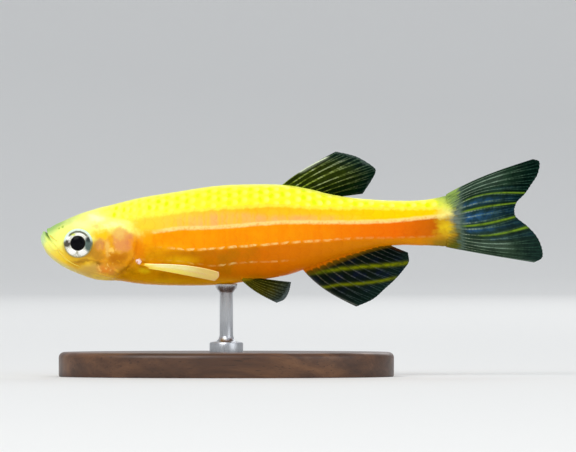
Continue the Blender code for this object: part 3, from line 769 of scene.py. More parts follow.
def scaleTemplate():
    # One scale: a tongue with a rounded rear edge, as a thin closed plate
    bm = bmesh.new()
    bmesh.ops.create_grid(bm, x_segments=4, y_segments=4, size=1.0)
    bmesh.ops.solidify(bm, geom=bm.faces[:], thickness=0.5)
    bmesh.ops.recalc_face_normals(bm, faces=bm.faces)
    mesh = meshFrom(bm, "scaleTemplate")
    points = readVectors(mesh.vertices, "co")
    faces = np.array([list(p.vertices) for p in mesh.polygons])
    bpy.data.meshes.remove(mesh)
    top = points[:, 2] > points[:, 2].mean()
    a, b = (points[:, 0] + 1) / 2, points[:, 1]
    narrow = 1 - 0.5 * np.clip(a - 0.55, 0, 1) ** 1.5 - 0.35 * np.clip(0.3 - a, 0, 1)
    length = a * (1 - 0.27 * np.abs(b) ** 2.2)
    return length, b * narrow, top, np.maximum(a, np.abs(b) ** 3 * 0.8), faces


def growing(root, first):
    # The share of the full size that a scale has, from first behind the head to 1
    return first + (1 - first) * easeIn(root, *scales["growing"])


def scaleRoots(half):
    # Root, share of the way round and row pitch of every scale on one side of the fish
    rows = []
    root, column = scales["firstColumn"], 0
    while root < scales["lastColumn"]:
        around = 2 * np.interp(root, girthStations, halfGirths)
        count = 2 * int(round(around / scales["rowPitch"] / 2))
        rows += [(root, -1 + 2 * (row + 0.5 * (column % 2)) / count, 2 / count) for row in range(count)]
        column += 1
        root += scales["pitch"] * float(growing(root, scales["frontPitch"]))
    rows = np.array(rows)
    root, share, _ = rows.T
    points = skinPoint(root, angleAtShare(root, share))
    onNape = points[:, 2] >= scales["napeHeight"]
    gap = np.where(onNape, scales["napeGap"], scales["firstGap"])
    return rows[((share >= 0) == (half > 0)) & (behindGill(points[:, 0], points[:, 2]) > gap)]


def placeScales(half):
    length, across, top, edge, faces = scaleTemplate()
    root, share, pitch = (column[:, None] for column in scaleRoots(half).T)
    count, size = len(root), len(length)
    wobble = dice.normal(0, 1, (count, 4)) * scales["unevenness"]
    tones = dice.uniform(0, 1, count)
    long = scales["length"] * growing(root, scales["frontLength"]) * (1 + wobble[:, 0:1])
    along = np.clip(root + wobble[:, 1:2] + length * long, 0.2, 36.95)
    around = share + (across * scales["width"] * (1 + wobble[:, 2:3]) + wobble[:, 3:4]) * pitch
    angle = angleAtShare(along, (around + 1) % 2 - 1)
    a = np.broadcast_to(length, along.shape)
    plate = scales["thickness"] * (1 - 0.75 * edge**3)
    grow = scales["rise"] * a + np.where(top, plate, 0.0) + scales["lap"] * across
    grow = grow - fish["scaleDepth"] - scales["thickness"]
    points = skinPoint(along, angle, grow).reshape(-1, 3)
    allFaces = (faces + (np.arange(count) * size)[:, None, None]).reshape(-1, 4)
    name = "scales_left" if half < 0 else "scales_right"
    mesh = bpy.data.meshes.new(name)
    mesh.from_pydata(inWorld(points).tolist(), [], allFaces.tolist())
    mesh.update()
    turnFacesOut(mesh)
    paintMarks(mesh, points, a, np.tile(np.abs(across), count))
    writeValues(mesh, {"scaleEdge": np.tile(edge, count), "scaleTone": np.repeat(tones, size)})

    # each scale is a small patch of the map, at its root's place on the unwrapped skin
    u = root / scales["mapLength"] + scales["mapPatch"] * (a - 0.5)
    v = (share + 1) / 2 * 0.99 + 0.005 + scales["mapPatch"] * across
    corner = np.empty(len(mesh.loops), np.int32)
    mesh.loops.foreach_get("vertex_index", corner)
    spread = np.stack([u.ravel(), v.ravel()], axis=-1)[corner].astype(np.float32)
    mesh.uv_layers.new(name="OFBake").data.foreach_set("uv", spread.ravel())
    addPiece(name, mesh, scaleMaterial)
    mesh.set_sharp_from_angle(angle=math.radians(50))
    print(name, count, "scales,", len(mesh.polygons), "faces")


placeScales(-1)
placeScales(1)


eyeColours = {name: paint(*tint) for name, tint in {
    "white": (244, 244, 234), "grey": (198, 198, 182), "shine": (255, 255, 250), "rearShine": (252, 254, 250),
    "topShine": (252, 252, 240), "rearShade": (66, 60, 50), "fleck": (214, 206, 204),
    "frontShade": (78, 98, 92), "frontDark": (44, 50, 48), "bronze": (146, 138, 108), "lime": (206, 214, 84),
    "arc": (74, 80, 52), "outer": (216, 234, 220), "rim": (150, 140, 62), "pupilRim": (50, 48, 36),
}.items()}
eyeSpots = [  # centre (forward, up), size, softness, strength, colour
    ((0.52, -0.74), (0.48, 0.36), 0.5, 0.9, "shine"),
    ((-0.42, -0.84), (0.5, 0.34), 0.5, 0.9, "shine"),
    ((0.98, 0.62), (0.36, 0.42), 0.5, 0.9, "rearShine"),
    ((-0.1, 0.76), (0.62, 0.14), 0.5, 0.9, "topShine"),
    ((1.0, -0.04), (0.5, 0.42), 0.5, 0.95, "rearShade"),
    ((0.78, 0.12), (0.14, 0.12), 0.8, 0.7, "fleck"),
    ((-1.0, -0.1), (0.54, 0.84), 0.45, 0.95, "frontShade"),
    ((-0.96, 0.34), (0.38, 0.36), 0.7, 0.9, "frontDark"),
    ((0.06, -0.85), (0.14, 0.32), 0.8, 0.6, "bronze"),
    ((0.48, 0.78), (0.4, 0.17), 0.7, 0.95, "lime"),
]


def makeEyeMaterial():
    tints, pupil = eyeColours, eye["pupil"]
    # the eye glows faintly in its own colours, a painted light
    made = Material("eyeball", {
        "Roughness": 0.2, "Specular IOR Level": 0.05, "Coat Weight": 0.05, "Coat Roughness": 0.04,
        "Emission Strength": 0.14,
    })
    forward, up = made.read("eyeForward"), made.read("eyeUp")
    place = made.place(forward, up)
    fromMiddle = made.length(place)
    lumps = made.noise(3.2, 4, 0.65, at=place)
    radius = fromMiddle + (lumps - 0.5) * 0.07
    upright = up / (fromMiddle + 0.001)
    colour = made.noise(5.0, 4, 0.7, at=place).step(0.36, 0.6).mix(tints["white"], tints["grey"])
    colour = made.spots(colour, forward, up, eyeSpots, tints)
    # a dark arc over the pupil, a pale ring above it and an olive rim below
    arc = radius.step(0.9, 0.98) * radius.step(1.15, 1.07) * upright.step(0.48, 0.72) * 0.9
    outer = radius.step(1.08, 1.18) * upright.step(-0.05, 0.35) * 0.9
    rim = radius.step(1.14, 1.26) * upright.step(0.15, -0.3) * 0.8
    pupilRim = fromMiddle.step(pupil + 0.05, pupil + 0.01)
    inPupil = fromMiddle.step(pupil, pupil - 0.03)
    for name, amount in {"arc": arc, "outer": outer, "rim": rim, "pupilRim": pupilRim}.items():
        colour = amount.mix(colour, tints[name])
    colour = inPupil.mix(colour, eye["pupilColour"])
    normal = made.bump(lumps * fromMiddle.step(0.68, 0.8), 0.00004)
    made.fill({"Base Color": colour, "Emission Color": colour, "Normal": normal})
    return made.material


eyeMaterial = makeEyeMaterial()


def makeEye(side, name, node):
    bm = bmesh.new()
    bmesh.ops.create_uvsphere(bm, u_segments=96, v_segments=72, radius=1.0)
    mesh = meshFrom(bm, name)
    ball = readVectors(mesh.vertices, "co")
    x, y, z = (ball[:, i : i + 1] for i in range(3))
    middle, forward, above, outward = eyeFrame(side)
    radius = np.hypot(x, y) * eye["ballRadius"]
    # the lens bulges a little in the pupil, with a fine groove round it
    lens = eye["lensRise"] * (1 - easeIn(radius, 0.3, eye["pupil"]))
    lens -= eye["lensGroove"] * bump(radius - eye["pupil"] - 0.03, 0.05)
    level = z * eye["depth"] + np.where(z > 0, lens, 0)
    points = middle + eye["ballRadius"] * (x * forward + y * above) + level * outward
    writePoints(mesh, inWorld(points))
    turnFacesOut(mesh)
    writeValues(mesh, {"eyeForward": x * eye["ballRadius"], "eyeUp": y * eye["ballRadius"]})
    addPiece(name, mesh, eyeMaterial, [node])


makeEye(-1, "eyeball_left", "eye_left")
makeEye(1, "eyeball_right", "eye_right")
print("eyes done")


feelers = {
    "steps": 18, "sides": 10,
    "paths": [  # along, side, up, radius
        [
            (1.4, 1.1, -0.75, 0.075), (1.7, 1.5, -1.25, 0.065), (2.2, 1.78, -1.8, 0.055),
            (2.85, 1.9, -2.25, 0.04), (3.55, 1.92, -2.56, 0.022),
        ],
        [
            (0.8, 0.85, 0.3, 0.06), (0.95, 1.2, 0.14, 0.05), (1.2, 1.42, -0.06, 0.035),
            (1.5, 1.58, -0.28, 0.02),
        ],
    ],
}


def edgesOf(ring):
    return {e for v in ring for e in v.link_edges if all(w in ring for w in e.verts)}


def makeFeelers():
    bm = bmesh.new()
    steps = feelers["steps"]
    for path, side in ((path, side) for path in feelers["paths"] for side in (-1, 1)):
        track = lineThrough(path, np.linspace(0, 1, steps + 1))
        centres = inWorld(track[:, :3] * (1, side, 1))
        rings = []
        for i, centre in enumerate(centres):
            run = Vector(centres[min(i + 1, steps)] - centres[max(i - 1, 0)]).normalized()
            turn = run.to_track_quat("Z", "Y").to_matrix().to_4x4()
            placed = Matrix.Translation(Vector(centre)) @ turn
            made = bmesh.ops.create_circle(
                bm, cap_ends=False, segments=feelers["sides"], radius=track[i, 3] / inMetre, matrix=placed
            )
            rings.append(made["verts"])
        for first, second in zip(rings, rings[1:]):
            bmesh.ops.bridge_loops(bm, edges=[*edgesOf(first), *edgesOf(second)])
        for ring in (rings[0], rings[-1]):
            bmesh.ops.contextual_create(bm, geom=ring)
    bmesh.ops.recalc_face_normals(bm, faces=bm.faces)
    skinLike = Material("feeler", {"Roughness": 0.4, "Subsurface Weight": 0.2, "Subsurface Scale": 0.0004})
    skinLike.fill({"Base Color": skinLike.noise(2600).mix(paint(248, 226, 84), paint(238, 196, 52))})
    addPiece("feelers", meshFrom(bm, "feelers"), skinLike.material)


makeFeelers()
print("feelers done")


# edge: the one that the root follows, 0 the back and 1 the belly. sink: from the body's surface to the root
# thick: of the membrane, of a ray and of the root. fleshy: how far the body's colours run into the fin
finPlans = {
    "dorsal": {
        "rays": 9, "perRay": 12, "rows": 56, "root": (21.1, 25.6), "edge": 0, "sink": -0.5,
        "bow": (0.035, 0.0), "split": 0.34, "thick": (0.07, 0.2, 0.25), "fleshy": 0.85,
        "tips": [
            (26.4, 7.74), (27.55, 7.5), (28.45, 7.2), (29.6, 6.5), (29.98, 6.0), (29.56, 5.1), (28.8, 3.95),
        ],
    },
    "anal": {
        "rays": 14, "perRay": 12, "rows": 52, "root": (23.2, 30.6), "edge": 1, "sink": 0.5,
        "bow": (-0.068, -0.02), "split": 0.5, "thick": (0.07, 0.2, 0.25), "fleshy": 1.35,
        "tips": [
            (28.24, -6.15), (29.72, -5.49), (30.79, -4.56), (31.78, -3.65), (32.58, -2.7), (32.95, -2.1),
            (32.85, -1.3),
        ],
    },
    "tail": {
        "rays": 19, "perRay": 12, "rows": 72, "root": (3.9, 1.5, -0.82), "sink": -0.5,
        "split": 0.4, "thick": (0.07, 0.2, 0.6), "fleshy": 2.0,
        "bow": [  # how far the rays bow up, from the fin's top ray to its lowest
            (0.0, 0.03), (0.18, 0.065), (0.33, 0.1), (0.43, 0.035), (0.5, 0.0), (0.57, -0.045),
            (0.66, -0.085), (0.82, -0.05), (1.0, -0.005),
        ],
        "upper": [
            (44.1, 7.08), (44.68, 6.8), (44.5, 5.7), (43.9, 4.75), (43.35, 3.95), (42.66, 3.25), (42.4, 2.6),
        ],
        "lower": [
            (42.4, 2.6), (42.56, 1.9), (43.6, 1.05), (44.45, 0.1), (44.9, -0.95), (44.9, -1.78), (44.2, -2.2),
        ],
    },
    "pectoral": {
        "rays": 11, "perRay": 10, "rows": 48, "root": ((8.85, -2.34), (9.1, -2.58)), "sink": -0.35,
        "fall": (5.0, 1.6), "split": 0.6, "thick": (0.07, 0.15, 0.12), "fleshy": 1.5,
        "tips": [(15.95, 4.1, -3.05), (15.95, 3.3, -3.42), (15.6, 2.45, -3.82)],
    },
    "pelvic": {
        "rays": 8, "perRay": 12, "rows": 40, "root": ((17.85, 1.1), (18.55, 0.5)), "sink": 0.45,
        "split": 0.5, "thick": (0.07, 0.17, 0.2), "fleshy": 0.9,
        "tips": [(21.1, 2.0, -5.77), (21.8, 1.75, -5.46), (22.2, 1.35, -4.8), (22.4, 0.85, -3.95)],
    },
}


def rayCrest(across, out, plan):
    # 1 on a ray and 0 on the membrane. Past split a ray is two branches side by side.
    ray = across * (plan["rays"] - 1)
    off = ray - np.round(ray)
    apart = 0.25 * easeIn(out, plan["split"], 1.1)
    width = 0.15 - 0.045 * easeIn(out, plan["split"] - 0.05, plan["split"] + 0.25)
    return np.maximum(bump(off - apart, width), bump(off + apart, width))


def bowed(foot, tip, out, bow):
    # Rays that curve a little on their way from foot to tip, in the fish's middle plane
    spot = foot + (tip - foot) * out[:, None]
    lift = np.stack([foot[:, 1] - tip[:, 1], tip[:, 0] - foot[:, 0]], axis=-1)
    spot = spot + lift * (bow * np.sin(math.pi * np.clip(out, 0, 1) ** 0.85))[:, None]
    return np.stack([spot[:, 0], np.zeros(len(out)), spot[:, 1]], axis=-1)


def middlePoint(plan, across, out):
    # The dorsal fin, rooted in the back, and the anal fin, rooted in the belly
    along = blend(plan["root"], across)
    foot = np.stack([along, bodySize(along)[plan["edge"]] + plan["sink"]], axis=-1)
    return bowed(foot, lineThrough(plan["tips"], across), out, blend(plan["bow"], across))


def tailPoint(plan, across, out):
    top, fork, bottom = plan["root"]
    upper = across < 0.5
    share = np.where(upper, across * 2, across * 2 - 1)
    height = np.where(upper, blend((top, fork), share), blend((fork, bottom), share))
    foot = np.stack([np.full(len(across), fish["bodyLength"] + plan["sink"]), height], axis=-1)
    tip = np.where(upper[:, None], lineThrough(plan["upper"], share), lineThrough(plan["lower"], share))
    knots, bows = np.array(plan["bow"]).T
    return bowed(foot, tip, out, smoothCurve(knots, bows, across))


def pectoralPoint(plan, across, out):
    along, up = (blend(ends, across) for ends in zip(*plan["root"]))
    side = flank(along, up) + plan["sink"]
    tip = lineThrough(plan["tips"], across)
    fall = out ** blend(plan["fall"], across**0.6)
    spread = 1 - (1 - np.clip(out, 0, 1)) ** 2.2
    ends = ((along, tip[:, 0]), (side, tip[:, 1]), (up, tip[:, 2]))
    return np.stack([blend(pair, way) for pair, way in zip(ends, (out**1.5, spread, fall))], axis=-1)


def pelvicPoint(plan, across, out):
    along, side = (blend(ends, across) for ends in zip(*plan["root"]))
    up = underside(along, side) + plan["sink"]
    tip = lineThrough(plan["tips"], across)
    ways = (out ** (1.35 - 0.25 * across), out, out**0.8)
    ends = ((along, tip[:, 0]), (side, tip[:, 1]), (up, tip[:, 2]))
    return np.stack([blend(pair, way) for pair, way in zip(ends, ways)], axis=-1)


def between(value, low, high, soft):
    return window(value, low, low + soft, high - soft, high)


def dorsalMarks(across, out, points):
    # Light caught on the front edge and on two of the rays behind it
    lead = 2.4 * bump(across - 0.02, 0.035) * between(out, 0.34, 0.88, 0.12)
    broken = np.maximum(0.25 * between(out, 0.3, 0.95, 0.2), bump(out - 0.82, 0.06))
    second = bump(across - 0.25, 0.012) * broken
    third = 0.3 * bump(across - 0.5, 0.012) * between(out, 0.12, 0.55, 0.15)
    return {"pale": np.maximum.reduce([lead, second, third])}


def tailMarks(across, out, points):
    # Yellow lines between blue bands, which run with the middle rays, and paler streaks above and below;
    # those on the lower lobe are a painted glint
    lines = {  # strength, place across the fin, width, start and end along the rays
        "yellow": [
            (1, 0.43, 0.0075, 0.05, 1.2), (1, 0.325, 0.007, 0.16, 1.2), (1, 0.58, 0.008, 0.08, 1.2),
            (1, 0.672, 0.008, 0.32, 1.2),
        ],
        "blue": [
            (1, 0.505, 0.045, 0.06, 1.2), (0.7, 0.378, 0.024, 0.12, 1.2), (0.7, 0.626, 0.02, 0.15, 1.2),
            (0.4, 0.72, 0.018, 0.4, 1.2), (0.3, 0.27, 0.018, 0.5, 0.95),
        ],
        "pale": [
            (0.65, 0.12, 0.12, 0.02, 0.7), (0.8, 0.8, 0.06, 0.2, 0.75), (0.5, 0.985, 0.02, 0.2, 1.2),
            (0.8, 0.5, 0.4, -0.2, 0.3),
        ],
    }
    marks = {
        name: np.maximum.reduce([
            amount * (bump(across - at, width) * between(out, start, end, 0.18))
            for amount, at, width, start, end in parts
        ])
        for name, parts in lines.items()
    }
    marks["blue"] = marks["blue"] * (1 - 0.8 * easeIn(out, 0.35, 0.85))
    return marks


def analMarks(across, out, points):
    # Two yellow bands that cross the rays, blue between them, a rusty last ray, and a painted highlight along
    # the front edge
    along, up = points[:, 0], points[:, 2]
    upper = up - np.interp(along, [24.0, 26.9, 29.2, 31.0, 32.9], [-3.18, -2.75, -2.54, -2.43, -2.23])
    lower = up - np.interp(
        along, [25.3, 26.5, 27.9, 29.2, 30.6, 31.8], [-4.44, -4.2, -4.12, -4.03, -3.82, -3.54]
    )
    patches = easeIn(np.sin(along * 2.9 + up * 1.7) + 0.6 * np.sin(along * 6.3 - up * 4.1), -0.5, 0.9)
    blue = [0.6 * bump(upper - 0.5, 0.3), bump(upper + 0.7, 0.42), 0.6 * bump(lower + 0.5, 0.3)]
    return {
        "yellow": np.maximum(bump(upper, 0.17), 0.85 * bump(lower, 0.14)) * easeIn(out, 0.06, 0.25),
        "blue": patches * np.maximum.reduce(blue),
        "pale": 0.6 * bump(across - 0.012, 0.02),
        "rust": 0.6 * bump(across - 0.98, 0.022) * between(out, 0.1, 0.9, 0.3),
    }


def pectoralMarks(across, out, points):
    # White along the upper half, and a greyish line of painted shade under it
    pale = bump(across - 0.28, 0.26) * between(out, 0.25, 0.86, 0.2)
    return {"pale": pale, "blue": 0.8 * bump(across - 0.56, 0.05) * between(out, 0.45, 0.97, 0.15)}


finPoints = {
    "dorsal": middlePoint, "anal": middlePoint, "tail": tailPoint, "pectoral": pectoralPoint,
    "pelvic": pelvicPoint,
}
finMarks = {"dorsal": dorsalMarks, "anal": analMarks, "tail": tailMarks, "pectoral": pectoralMarks}

# rays: colours at the root, half way and at the tip. rear: how much of their brightness the last ray keeps
# fine: how narrow a ray's light line is, from 0 to 1. edgeRear: how much of the pale margin is kept there
# clear: the membrane's opacity. body: where over the root the body's colour comes in. ragged: how unevenly
finLooks = {
    "dorsal": {
        "tints": {
            "membrane": (42, 54, 7), "rearMembrane": (4, 24, 2), "outer": (14, 36, 26),
            "outerRear": (0, 24, 12), "edge": (84, 98, 92), "pale": (226, 236, 204),
            "rootShade": (150, 176, 30),
        },
        "rays": [(160, 182, 44), (150, 164, 78), (78, 100, 78)], "rear": 0.12, "glint": 0.65, "fine": 0.22,
        "cloud": 0.5, "glow": 0.0, "margin": 0.94, "edgeRear": 0.3, "clear": 0.994,
        "body": (0.8, 1.0), "ragged": 0.6,
    },
    "tail": {
        "tints": {
            "membrane": (28, 52, 36), "rearMembrane": (42, 60, 44), "outer": (0, 22, 15),
            "outerRear": (24, 43, 37), "edge": (24, 50, 42), "yellow": (116, 148, 34),
            "blue": (54, 106, 160), "pale": (142, 168, 146), "rootShade": (90, 110, 96),
        },
        "rays": [(190, 204, 170), (96, 122, 96), (38, 68, 56)], "rear": 0.9, "glint": 0.3, "fine": 0.34,
        "cloud": 0.45, "glow": 0.0, "margin": 0.97, "edgeRear": 1.0, "clear": 0.99,
        "body": (0.42, 0.85), "ragged": 2.2,
    },
    "anal": {
        "tints": {
            "membrane": (12, 22, 14), "rearMembrane": (4, 16, 10), "outer": (14, 32, 26),
            "outerRear": (12, 28, 22), "edge": (44, 62, 58), "yellow": (112, 120, 4), "blue": (14, 20, 46),
            "pale": (120, 122, 112), "rust": (84, 42, 18), "rootShade": (110, 80, 4),
        },
        "rays": [(104, 94, 50), (78, 82, 82), (50, 70, 64)], "rear": 0.8, "glint": 0.1, "fine": 0.42,
        "cloud": 0.4, "glow": 0.0, "margin": 0.96, "edgeRear": 1.0, "clear": 0.998,
        "body": (0.62, 0.95), "ragged": 0.5,
    },
    "pelvic": {
        "tints": {
            "membrane": (60, 56, 2), "rearMembrane": (40, 42, 2), "outer": (30, 38, 28),
            "outerRear": (30, 38, 28), "edge": (84, 94, 94), "pale": (150, 156, 140),
            "rootShade": (140, 118, 8),
        },
        "rays": [(150, 142, 36), (112, 112, 44), (84, 98, 88)], "rear": 0.8, "glint": 0.1, "fine": 0.3,
        "cloud": 0.4, "glow": 0.0, "margin": 0.92, "edgeRear": 0.8, "clear": 0.98,
        "body": (0.8, 1.0), "ragged": 0.5,
    },
    "pectoral": {
        "tints": {
            "membrane": (250, 236, 132), "rearMembrane": (252, 232, 96), "outer": (236, 208, 116),
            "outerRear": (236, 208, 116), "edge": (230, 190, 146), "blue": (204, 184, 134),
            "pale": (255, 255, 228), "rootShade": (250, 222, 90),
        },
        "rays": [(252, 230, 120), (255, 250, 206), (232, 200, 150)], "rear": 0.7, "glint": 0.2, "fine": 0.2,
        "cloud": 0.0, "glow": 0.3, "margin": 0.96, "edgeRear": 1.0, "clear": 0.93,
        "body": (0.6, 1.0), "ragged": 0.8,
    },
}


def makeFinMaterial(kind):
    look, rays = finLooks[kind], finPlans[kind]["rays"]
    tints = {name: paint(*tint) for name, tint in look["tints"].items()}
    shine = {"Roughness": 0.5, "Specular IOR Level": 0.015, "Emission Strength": look["glow"]}
    made = Material(kind + "Fin", shine)
    out, across, ray, length = (made.read(name) for name in ("out", "across", "ray", "rayLength"))
    cloud = made.noise(1500, 4, 0.6)
    specks = made.noise(7000, 3, 0.7)
    streaks = made.noise(1.0, 3, 0.6, at=made.place(across, out, (1 / rays, 0.09)))  # run with the rays
    ragged = out + (cloud - 0.5) * 0.24
    uneven = (streaks - 0.5) * look["ragged"] + 1.0
    flesh = made.read("flesh") * (uneven + ray * 0.25)
    solid = (ray * 0.8).most(flesh)
    membrane = across.step(0.35, 0.9).mix(tints["membrane"], tints["rearMembrane"])
    outer = across.step(0.35, 0.8).mix(tints["outer"], tints["outerRear"])
    membrane = ragged.step(0.6, 0.92).mix(membrane, outer)
    membrane = cloud.step(0.35, 0.7, 0.0, look["cloud"]).mix(membrane, paint(0, 0, 0))
    # on the pectoral fin the blue mark is its greyish line of painted shade
    if "blue" in tints:
        blueness = made.read("blue") * streaks.step(0.36, 0.62, 0.3, 1.0) * ray.step(0.02, 0.4, 0.55, 1.0)
        membrane = blueness.mix(membrane, tints["blue"])

    # joints break each ray into short lengths, and some of them catch the light
    joint = (length * 22.0).maths("SINE").step(-0.6, 0.3, 0.6, 1.0)
    glints = streaks.step(0.52, 0.66) * out.step(0.95, 0.6, 0.0, look["glint"])
    glints = glints * across.step(0.14, 0.42, 1.0, 0.25)
    rayColour = glints.mix(out.ramp(list(zip((0.1, 0.5, 0.93), look["rays"]))), tints["pale"])
    shown = ray.step(look["fine"], look["fine"] + 0.55) * joint * specks.step(0.3, 0.62, 0.5, 1.0)
    shown = shown * streaks.step(0.34, 0.6, 0.3, 1.0) * across.step(0.3, 1.0, 1.0, look["rear"])
    colour = (shown * 0.9).mix(membrane, rayColour)

    # the marks, and the paler margin
    if "yellow" in tints:
        gold = made.read("yellow") * streaks.step(0.32, 0.58, 0.5, 1.0)
        colour = gold.mix(colour, tints["yellow"])
        solid = solid.most(gold)
    light = made.read("pale") * specks.step(0.3, 0.6, 0.45, 1.0) * (ray * streaks).step(0.08, 0.45, 0.16, 1.0)
    colour = light.mix(colour, tints["pale"])
    if "rust" in tints:
        colour = made.read("rust").mix(colour, tints["rust"])
    margin = ragged.step(look["margin"], look["margin"] + 0.06, 0.0, 0.75)
    colour = (margin * across.step(0.3, 0.9, 1.0, look["edgeRear"])).mix(colour, tints["edge"])

    # the body's own colours fade out over the root
    colour = flesh.step(0.05, 0.6, 0.0, 0.85).mix(colour, tints["rootShade"])
    colour = flesh.step(*look["body"]).mix(colour, made.add("Group", {}, node_tree=danioMarkings))
    made.fill({
        "Base Color": colour, "Emission Color": colour, "Alpha": solid.step(0.0, 0.8, look["clear"], 1.0),
        "Normal": made.bump(specks * 0.4 + joint * ray, 0.00003),
    })
    return made.material


finMaterials = {kind: makeFinMaterial(kind) for kind in finLooks}


def makeFin(name, kind, nodes, side=1):
    # A membrane with its rays raised on both faces, thin at the margin and fleshy at the root
    plan, pointAt = finPlans[kind], finPoints[kind]
    bm = bmesh.new()
    cells = plan["perRay"] * (plan["rays"] - 1)
    bmesh.ops.create_grid(bm, x_segments=cells, y_segments=plan["rows"], size=1.0)
    mesh = meshFrom(bm, name)
    flat = readVectors(mesh.vertices, "co")
    across, out = (flat[:, 0] + 1) / 2, (flat[:, 1] + 1) / 2
    crest = rayCrest(across, out, plan)
    notch = 1 - 0.004 * (1 - crest) * easeIn(out, 0.8, 1.0)  # the margin draws in between the rays
    points = pointAt(plan, across, out * notch)
    length = np.linalg.norm(points - pointAt(plan, across, out * 0), axis=1)
    flesh = 1 - np.clip((length / plan["fleshy"] - 0.35) / 0.65, 0, 1)
    paintMarks(mesh, points)
    writeValues(mesh, {"out": out, "across": across, "ray": crest, "rayLength": length, "flesh": flesh})
    if kind in finMarks:
        writeValues(mesh, finMarks[kind](across, out, points))
    # the membrane isn't quite flat
    points[:, 1] += 0.05 * np.sin(across * 9 + out * 2.5) * easeIn(out, 0.2, 1.0)
    points[:, 1] *= side
    writePoints(mesh, inWorld(points))
    web, ray, rootThick = plan["thick"]
    thick = web * (1 - 0.3 * out) + (ray - web) * crest * (1 - 0.55 * out)
    thick = thick + rootThick * (1 - easeIn(length, plan["fleshy"] * 0.3, plan["fleshy"] * 1.4))
    thick = thick * (0.6 + 0.4 * np.minimum(np.minimum(across, 1 - across) * 60, 1))
    piece = addPiece(name, mesh, finMaterials[kind], nodes)
    group = piece.vertex_groups.new(name="thickness")
    most = thick.max()
    for i, share in enumerate((thick / most).tolist()):
        group.add([i], share, "REPLACE")
    solidify = piece.modifiers.new("thickness", "SOLIDIFY")
    solidify.thickness = most / inMetre
    solidify.offset = 0.0
    solidify.vertex_group = "thickness"
    applyModifiers(piece)
    piece.vertex_groups.clear()


makeFin("dorsalFin", "dorsal", ["dorsal_fin"])
makeFin("analFin", "anal", ["anal_fin"])
makeFin("tailFin", "tail", ["tail_fin_upper", "tail_fin_lower"])
for side, word in ((-1, "left"), (1, "right")):
    makeFin(f"pectoralFin_{word}", "pectoral", [f"pectoral_fin_{word}"], side)
    makeFin(f"pelvicFin_{word}", "pelvic", [f"pelvic_fin_{word}"], side=side)
print("fins done")


stand = {
    "baseLength": 30.0, "baseWidth": 16.0, "baseThick": 2.2, "baseEdge": 0.5, "lowEdge": 0.12,
    "rodAlong": 16.6, "rodRadius": 0.6, "footRadius": 1.5, "footHeight": 0.9,
}
standPlace = (stand["rodAlong"] - fish["length"] / 2) / inMetre


def makeWood():
    made = Material("walnut", {"Specular IOR Level": 0.4, "Coat Weight": 0.3, "Coat Roughness": 0.25})
    bend = made.noise(60, 2, 0.5, (1, 3, 3)) * 2.4
    planks = made.add("Mapping", {"Vector": made.add("TexCoord", {}, "Object"), "Scale": (40, 420, 420)})
    push = made.add("CombineXYZ", {1: bend, 2: bend})
    rings = made.noise(1.0, 5, 0.6, at=made.add("VectorMath", {0: planks, 1: push}, operation="ADD"))
    pores = made.noise(9000, 2, 0.6, (0.05, 1, 1))
    colour = rings.ramp([(0.3, (46, 28, 18)), (0.5, (84, 54, 34)), (0.68, (118, 80, 50))])
    made.fill({
        "Base Color": pores.step(0.6, 0.72, 0.0, 0.7).mix(colour, paint(28, 17, 11)),
        "Roughness": rings.step(0.3, 0.7, 0.48, 0.36),
        "Normal": made.bump(rings - pores, 0.00003),
    })
    return made.material


def makeSteel():
    made = Material("brushedSteel", {"Metallic": 1.0, "Anisotropic": 0.4})
    lines = made.noise(16000, 2, 0.6, (1, 1, 0.03))
    made.fill({
        "Base Color": lines.mix(paint(168, 170, 174), paint(206, 208, 212)),
        "Roughness": lines.step(0.3, 0.7, 0.24, 0.38),
        "Normal": made.bump(lines, 0.000006, 0.4),
    })
    return made.material


def makeBase():
    bm = bmesh.new()
    bmesh.ops.create_cone(bm, cap_ends=True, segments=144, radius1=0.5, radius2=0.5, depth=1.0)
    length, width, high = (stand[key] / inMetre for key in ("baseLength", "baseWidth", "baseThick"))
    lifted = Matrix.Translation((standPlace, 0, high / 2)) @ Matrix.Diagonal((length, width, high, 1))
    bmesh.ops.transform(bm, matrix=lifted, verts=bm.verts)
    top = [e for e in bm.edges if min(v.co.z for v in e.verts) > high * 0.9]
    low = [e for e in bm.edges if max(v.co.z for v in e.verts) < high * 0.1]
    for edges, offset, segments in ((top, stand["baseEdge"], 5), (low, stand["lowEdge"], 2)):
        bmesh.ops.bevel(
            bm, geom=[e for e in edges if e.is_valid], offset=offset / inMetre, segments=segments,
            profile=0.5, affect="EDGES", material=-1,
        )
    mesh = meshFrom(bm, "base")
    addPiece("base", mesh, makeWood(), ["stand_base"])
    mesh.set_sharp_from_angle(angle=math.radians(40))


def makeRod():
    low, belly = stand["baseThick"], fish["lipHeight"] + float(bodySize(np.array([stand["rodAlong"]]))[1][0])
    foot, rod, top = stand["footRadius"], stand["rodRadius"], stand["baseThick"] + stand["footHeight"]
    profile = [
        (0.0, low), (foot, low), (foot, top - 0.15), (foot - 0.06, top - 0.04), (foot - 0.2, top),
        (rod + 0.3, top + 0.06), (rod + 0.1, top + 0.25), (rod, top + 0.6),
        (rod, belly - 0.75), (rod + 0.12, belly - 0.55), (rod + 0.34, belly - 0.3), (rod + 0.4, belly + 0.02),
        (rod + 0.3, belly + 0.1), (0.0, belly + 0.1),
    ]
    bm = spun([(radius / inMetre, height / inMetre) for radius, height in profile], 64)
    bmesh.ops.translate(bm, verts=bm.verts, vec=(standPlace, 0, 0))
    mesh = meshFrom(bm, "rod")
    addPiece("rod", mesh, makeSteel(), ["stand_rod"])
    mesh.set_sharp_from_angle(angle=math.radians(35))


makeBase()
makeRod()
print("stand done")


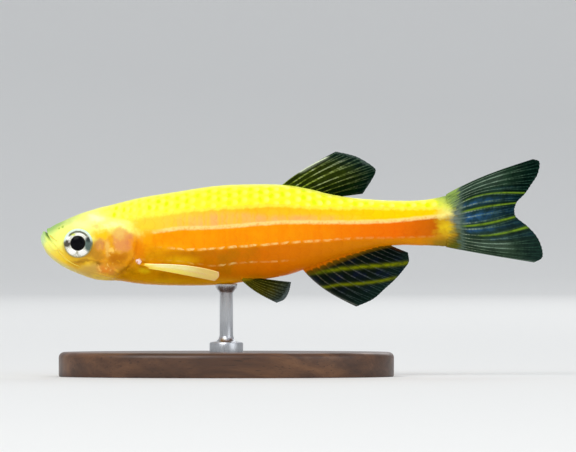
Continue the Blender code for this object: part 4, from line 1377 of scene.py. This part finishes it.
studio = {
    "flatRadius": 0.85, "wallRadius": 0.6, "floorColour": paint(236, 236, 233),
    "airColour": (0.9, 0.93, 1.0, 1), "airStrength": 0.62,
    "softboxSize": 0.5, "aim": (0, 0, 0.012),
    "softboxes": [  # name, place, power, colour
        ("softboxKey", (-0.3, -0.55, 0.6), 3.0, (1.0, 0.99, 0.97)),
        ("softboxFill", (0.55, -0.5, 0.35), 1.0, (0.96, 0.98, 1.0)),
        ("softboxRear", (0.25, 0.6, 0.5), 1.6, (1.0, 1.0, 1.0)),
    ],
    "cameraDistance": 0.7, "frameWidth": 0.05153, "sensorWidth": 36.0,
    "cameraAlong": 22.115, "cameraUp": 1.07,
}


def makeFloor():
    flat, wall = studio["flatRadius"], studio["wallRadius"]
    curve = [(flat + wall * math.sin(t), wall * (1 - math.cos(t))) for t in np.linspace(0.1, math.pi / 2, 16)]
    mesh = meshFrom(spun([(0, 0), (0.1, 0), (flat * 0.5, 0), (flat, 0), *curve], 96), "studioFloor")
    mesh.shade_smooth()
    floor = bpy.data.objects.new("studioFloor", mesh)
    bpy.context.scene.collection.objects.link(floor)
    paper = {"Roughness": 0.9, "Specular IOR Level": 0.2, "Base Color": studio["floorColour"]}
    mesh.materials.append(Material("studioPaper", paper).material)


def makeLights():
    for name, place, power, tint in studio["softboxes"]:
        light = bpy.data.lights.new(name, "AREA")
        light.shape, light.size, light.energy, light.color = "SQUARE", studio["softboxSize"], power, tint
        lamp = bpy.data.objects.new(name, light)
        lamp.location = place
        lamp.rotation_euler = (Vector(studio["aim"]) - Vector(place)).to_track_quat("-Z", "Y").to_euler()
        bpy.context.scene.collection.objects.link(lamp)
    world = bpy.data.worlds.new("studioAir")
    world.use_nodes = True
    air = world.node_tree.nodes["Background"].inputs
    air["Color"].default_value, air["Strength"].default_value = studio["airColour"], studio["airStrength"]
    bpy.context.scene.world = world
    bpy.context.scene.view_settings.view_transform = "Standard"


def makeCamera():
    data = bpy.data.cameras.new("camera")
    data.sensor_width = studio["sensorWidth"]
    data.lens = studio["sensorWidth"] * studio["cameraDistance"] / studio["frameWidth"]
    data.clip_start, data.clip_end = 0.01, 10
    camera = bpy.data.objects.new("camera", data)
    along = (studio["cameraAlong"] - fish["length"] / 2) / inMetre
    camera.location = (along, -studio["cameraDistance"], (studio["cameraUp"] + fish["lipHeight"]) / inMetre)
    camera.rotation_euler = (math.radians(90), 0, 0)
    bpy.context.scene.collection.objects.link(camera)
    bpy.context.scene.camera = camera


makeFloor()
makeLights()
makeCamera()

print("studio and camera done")
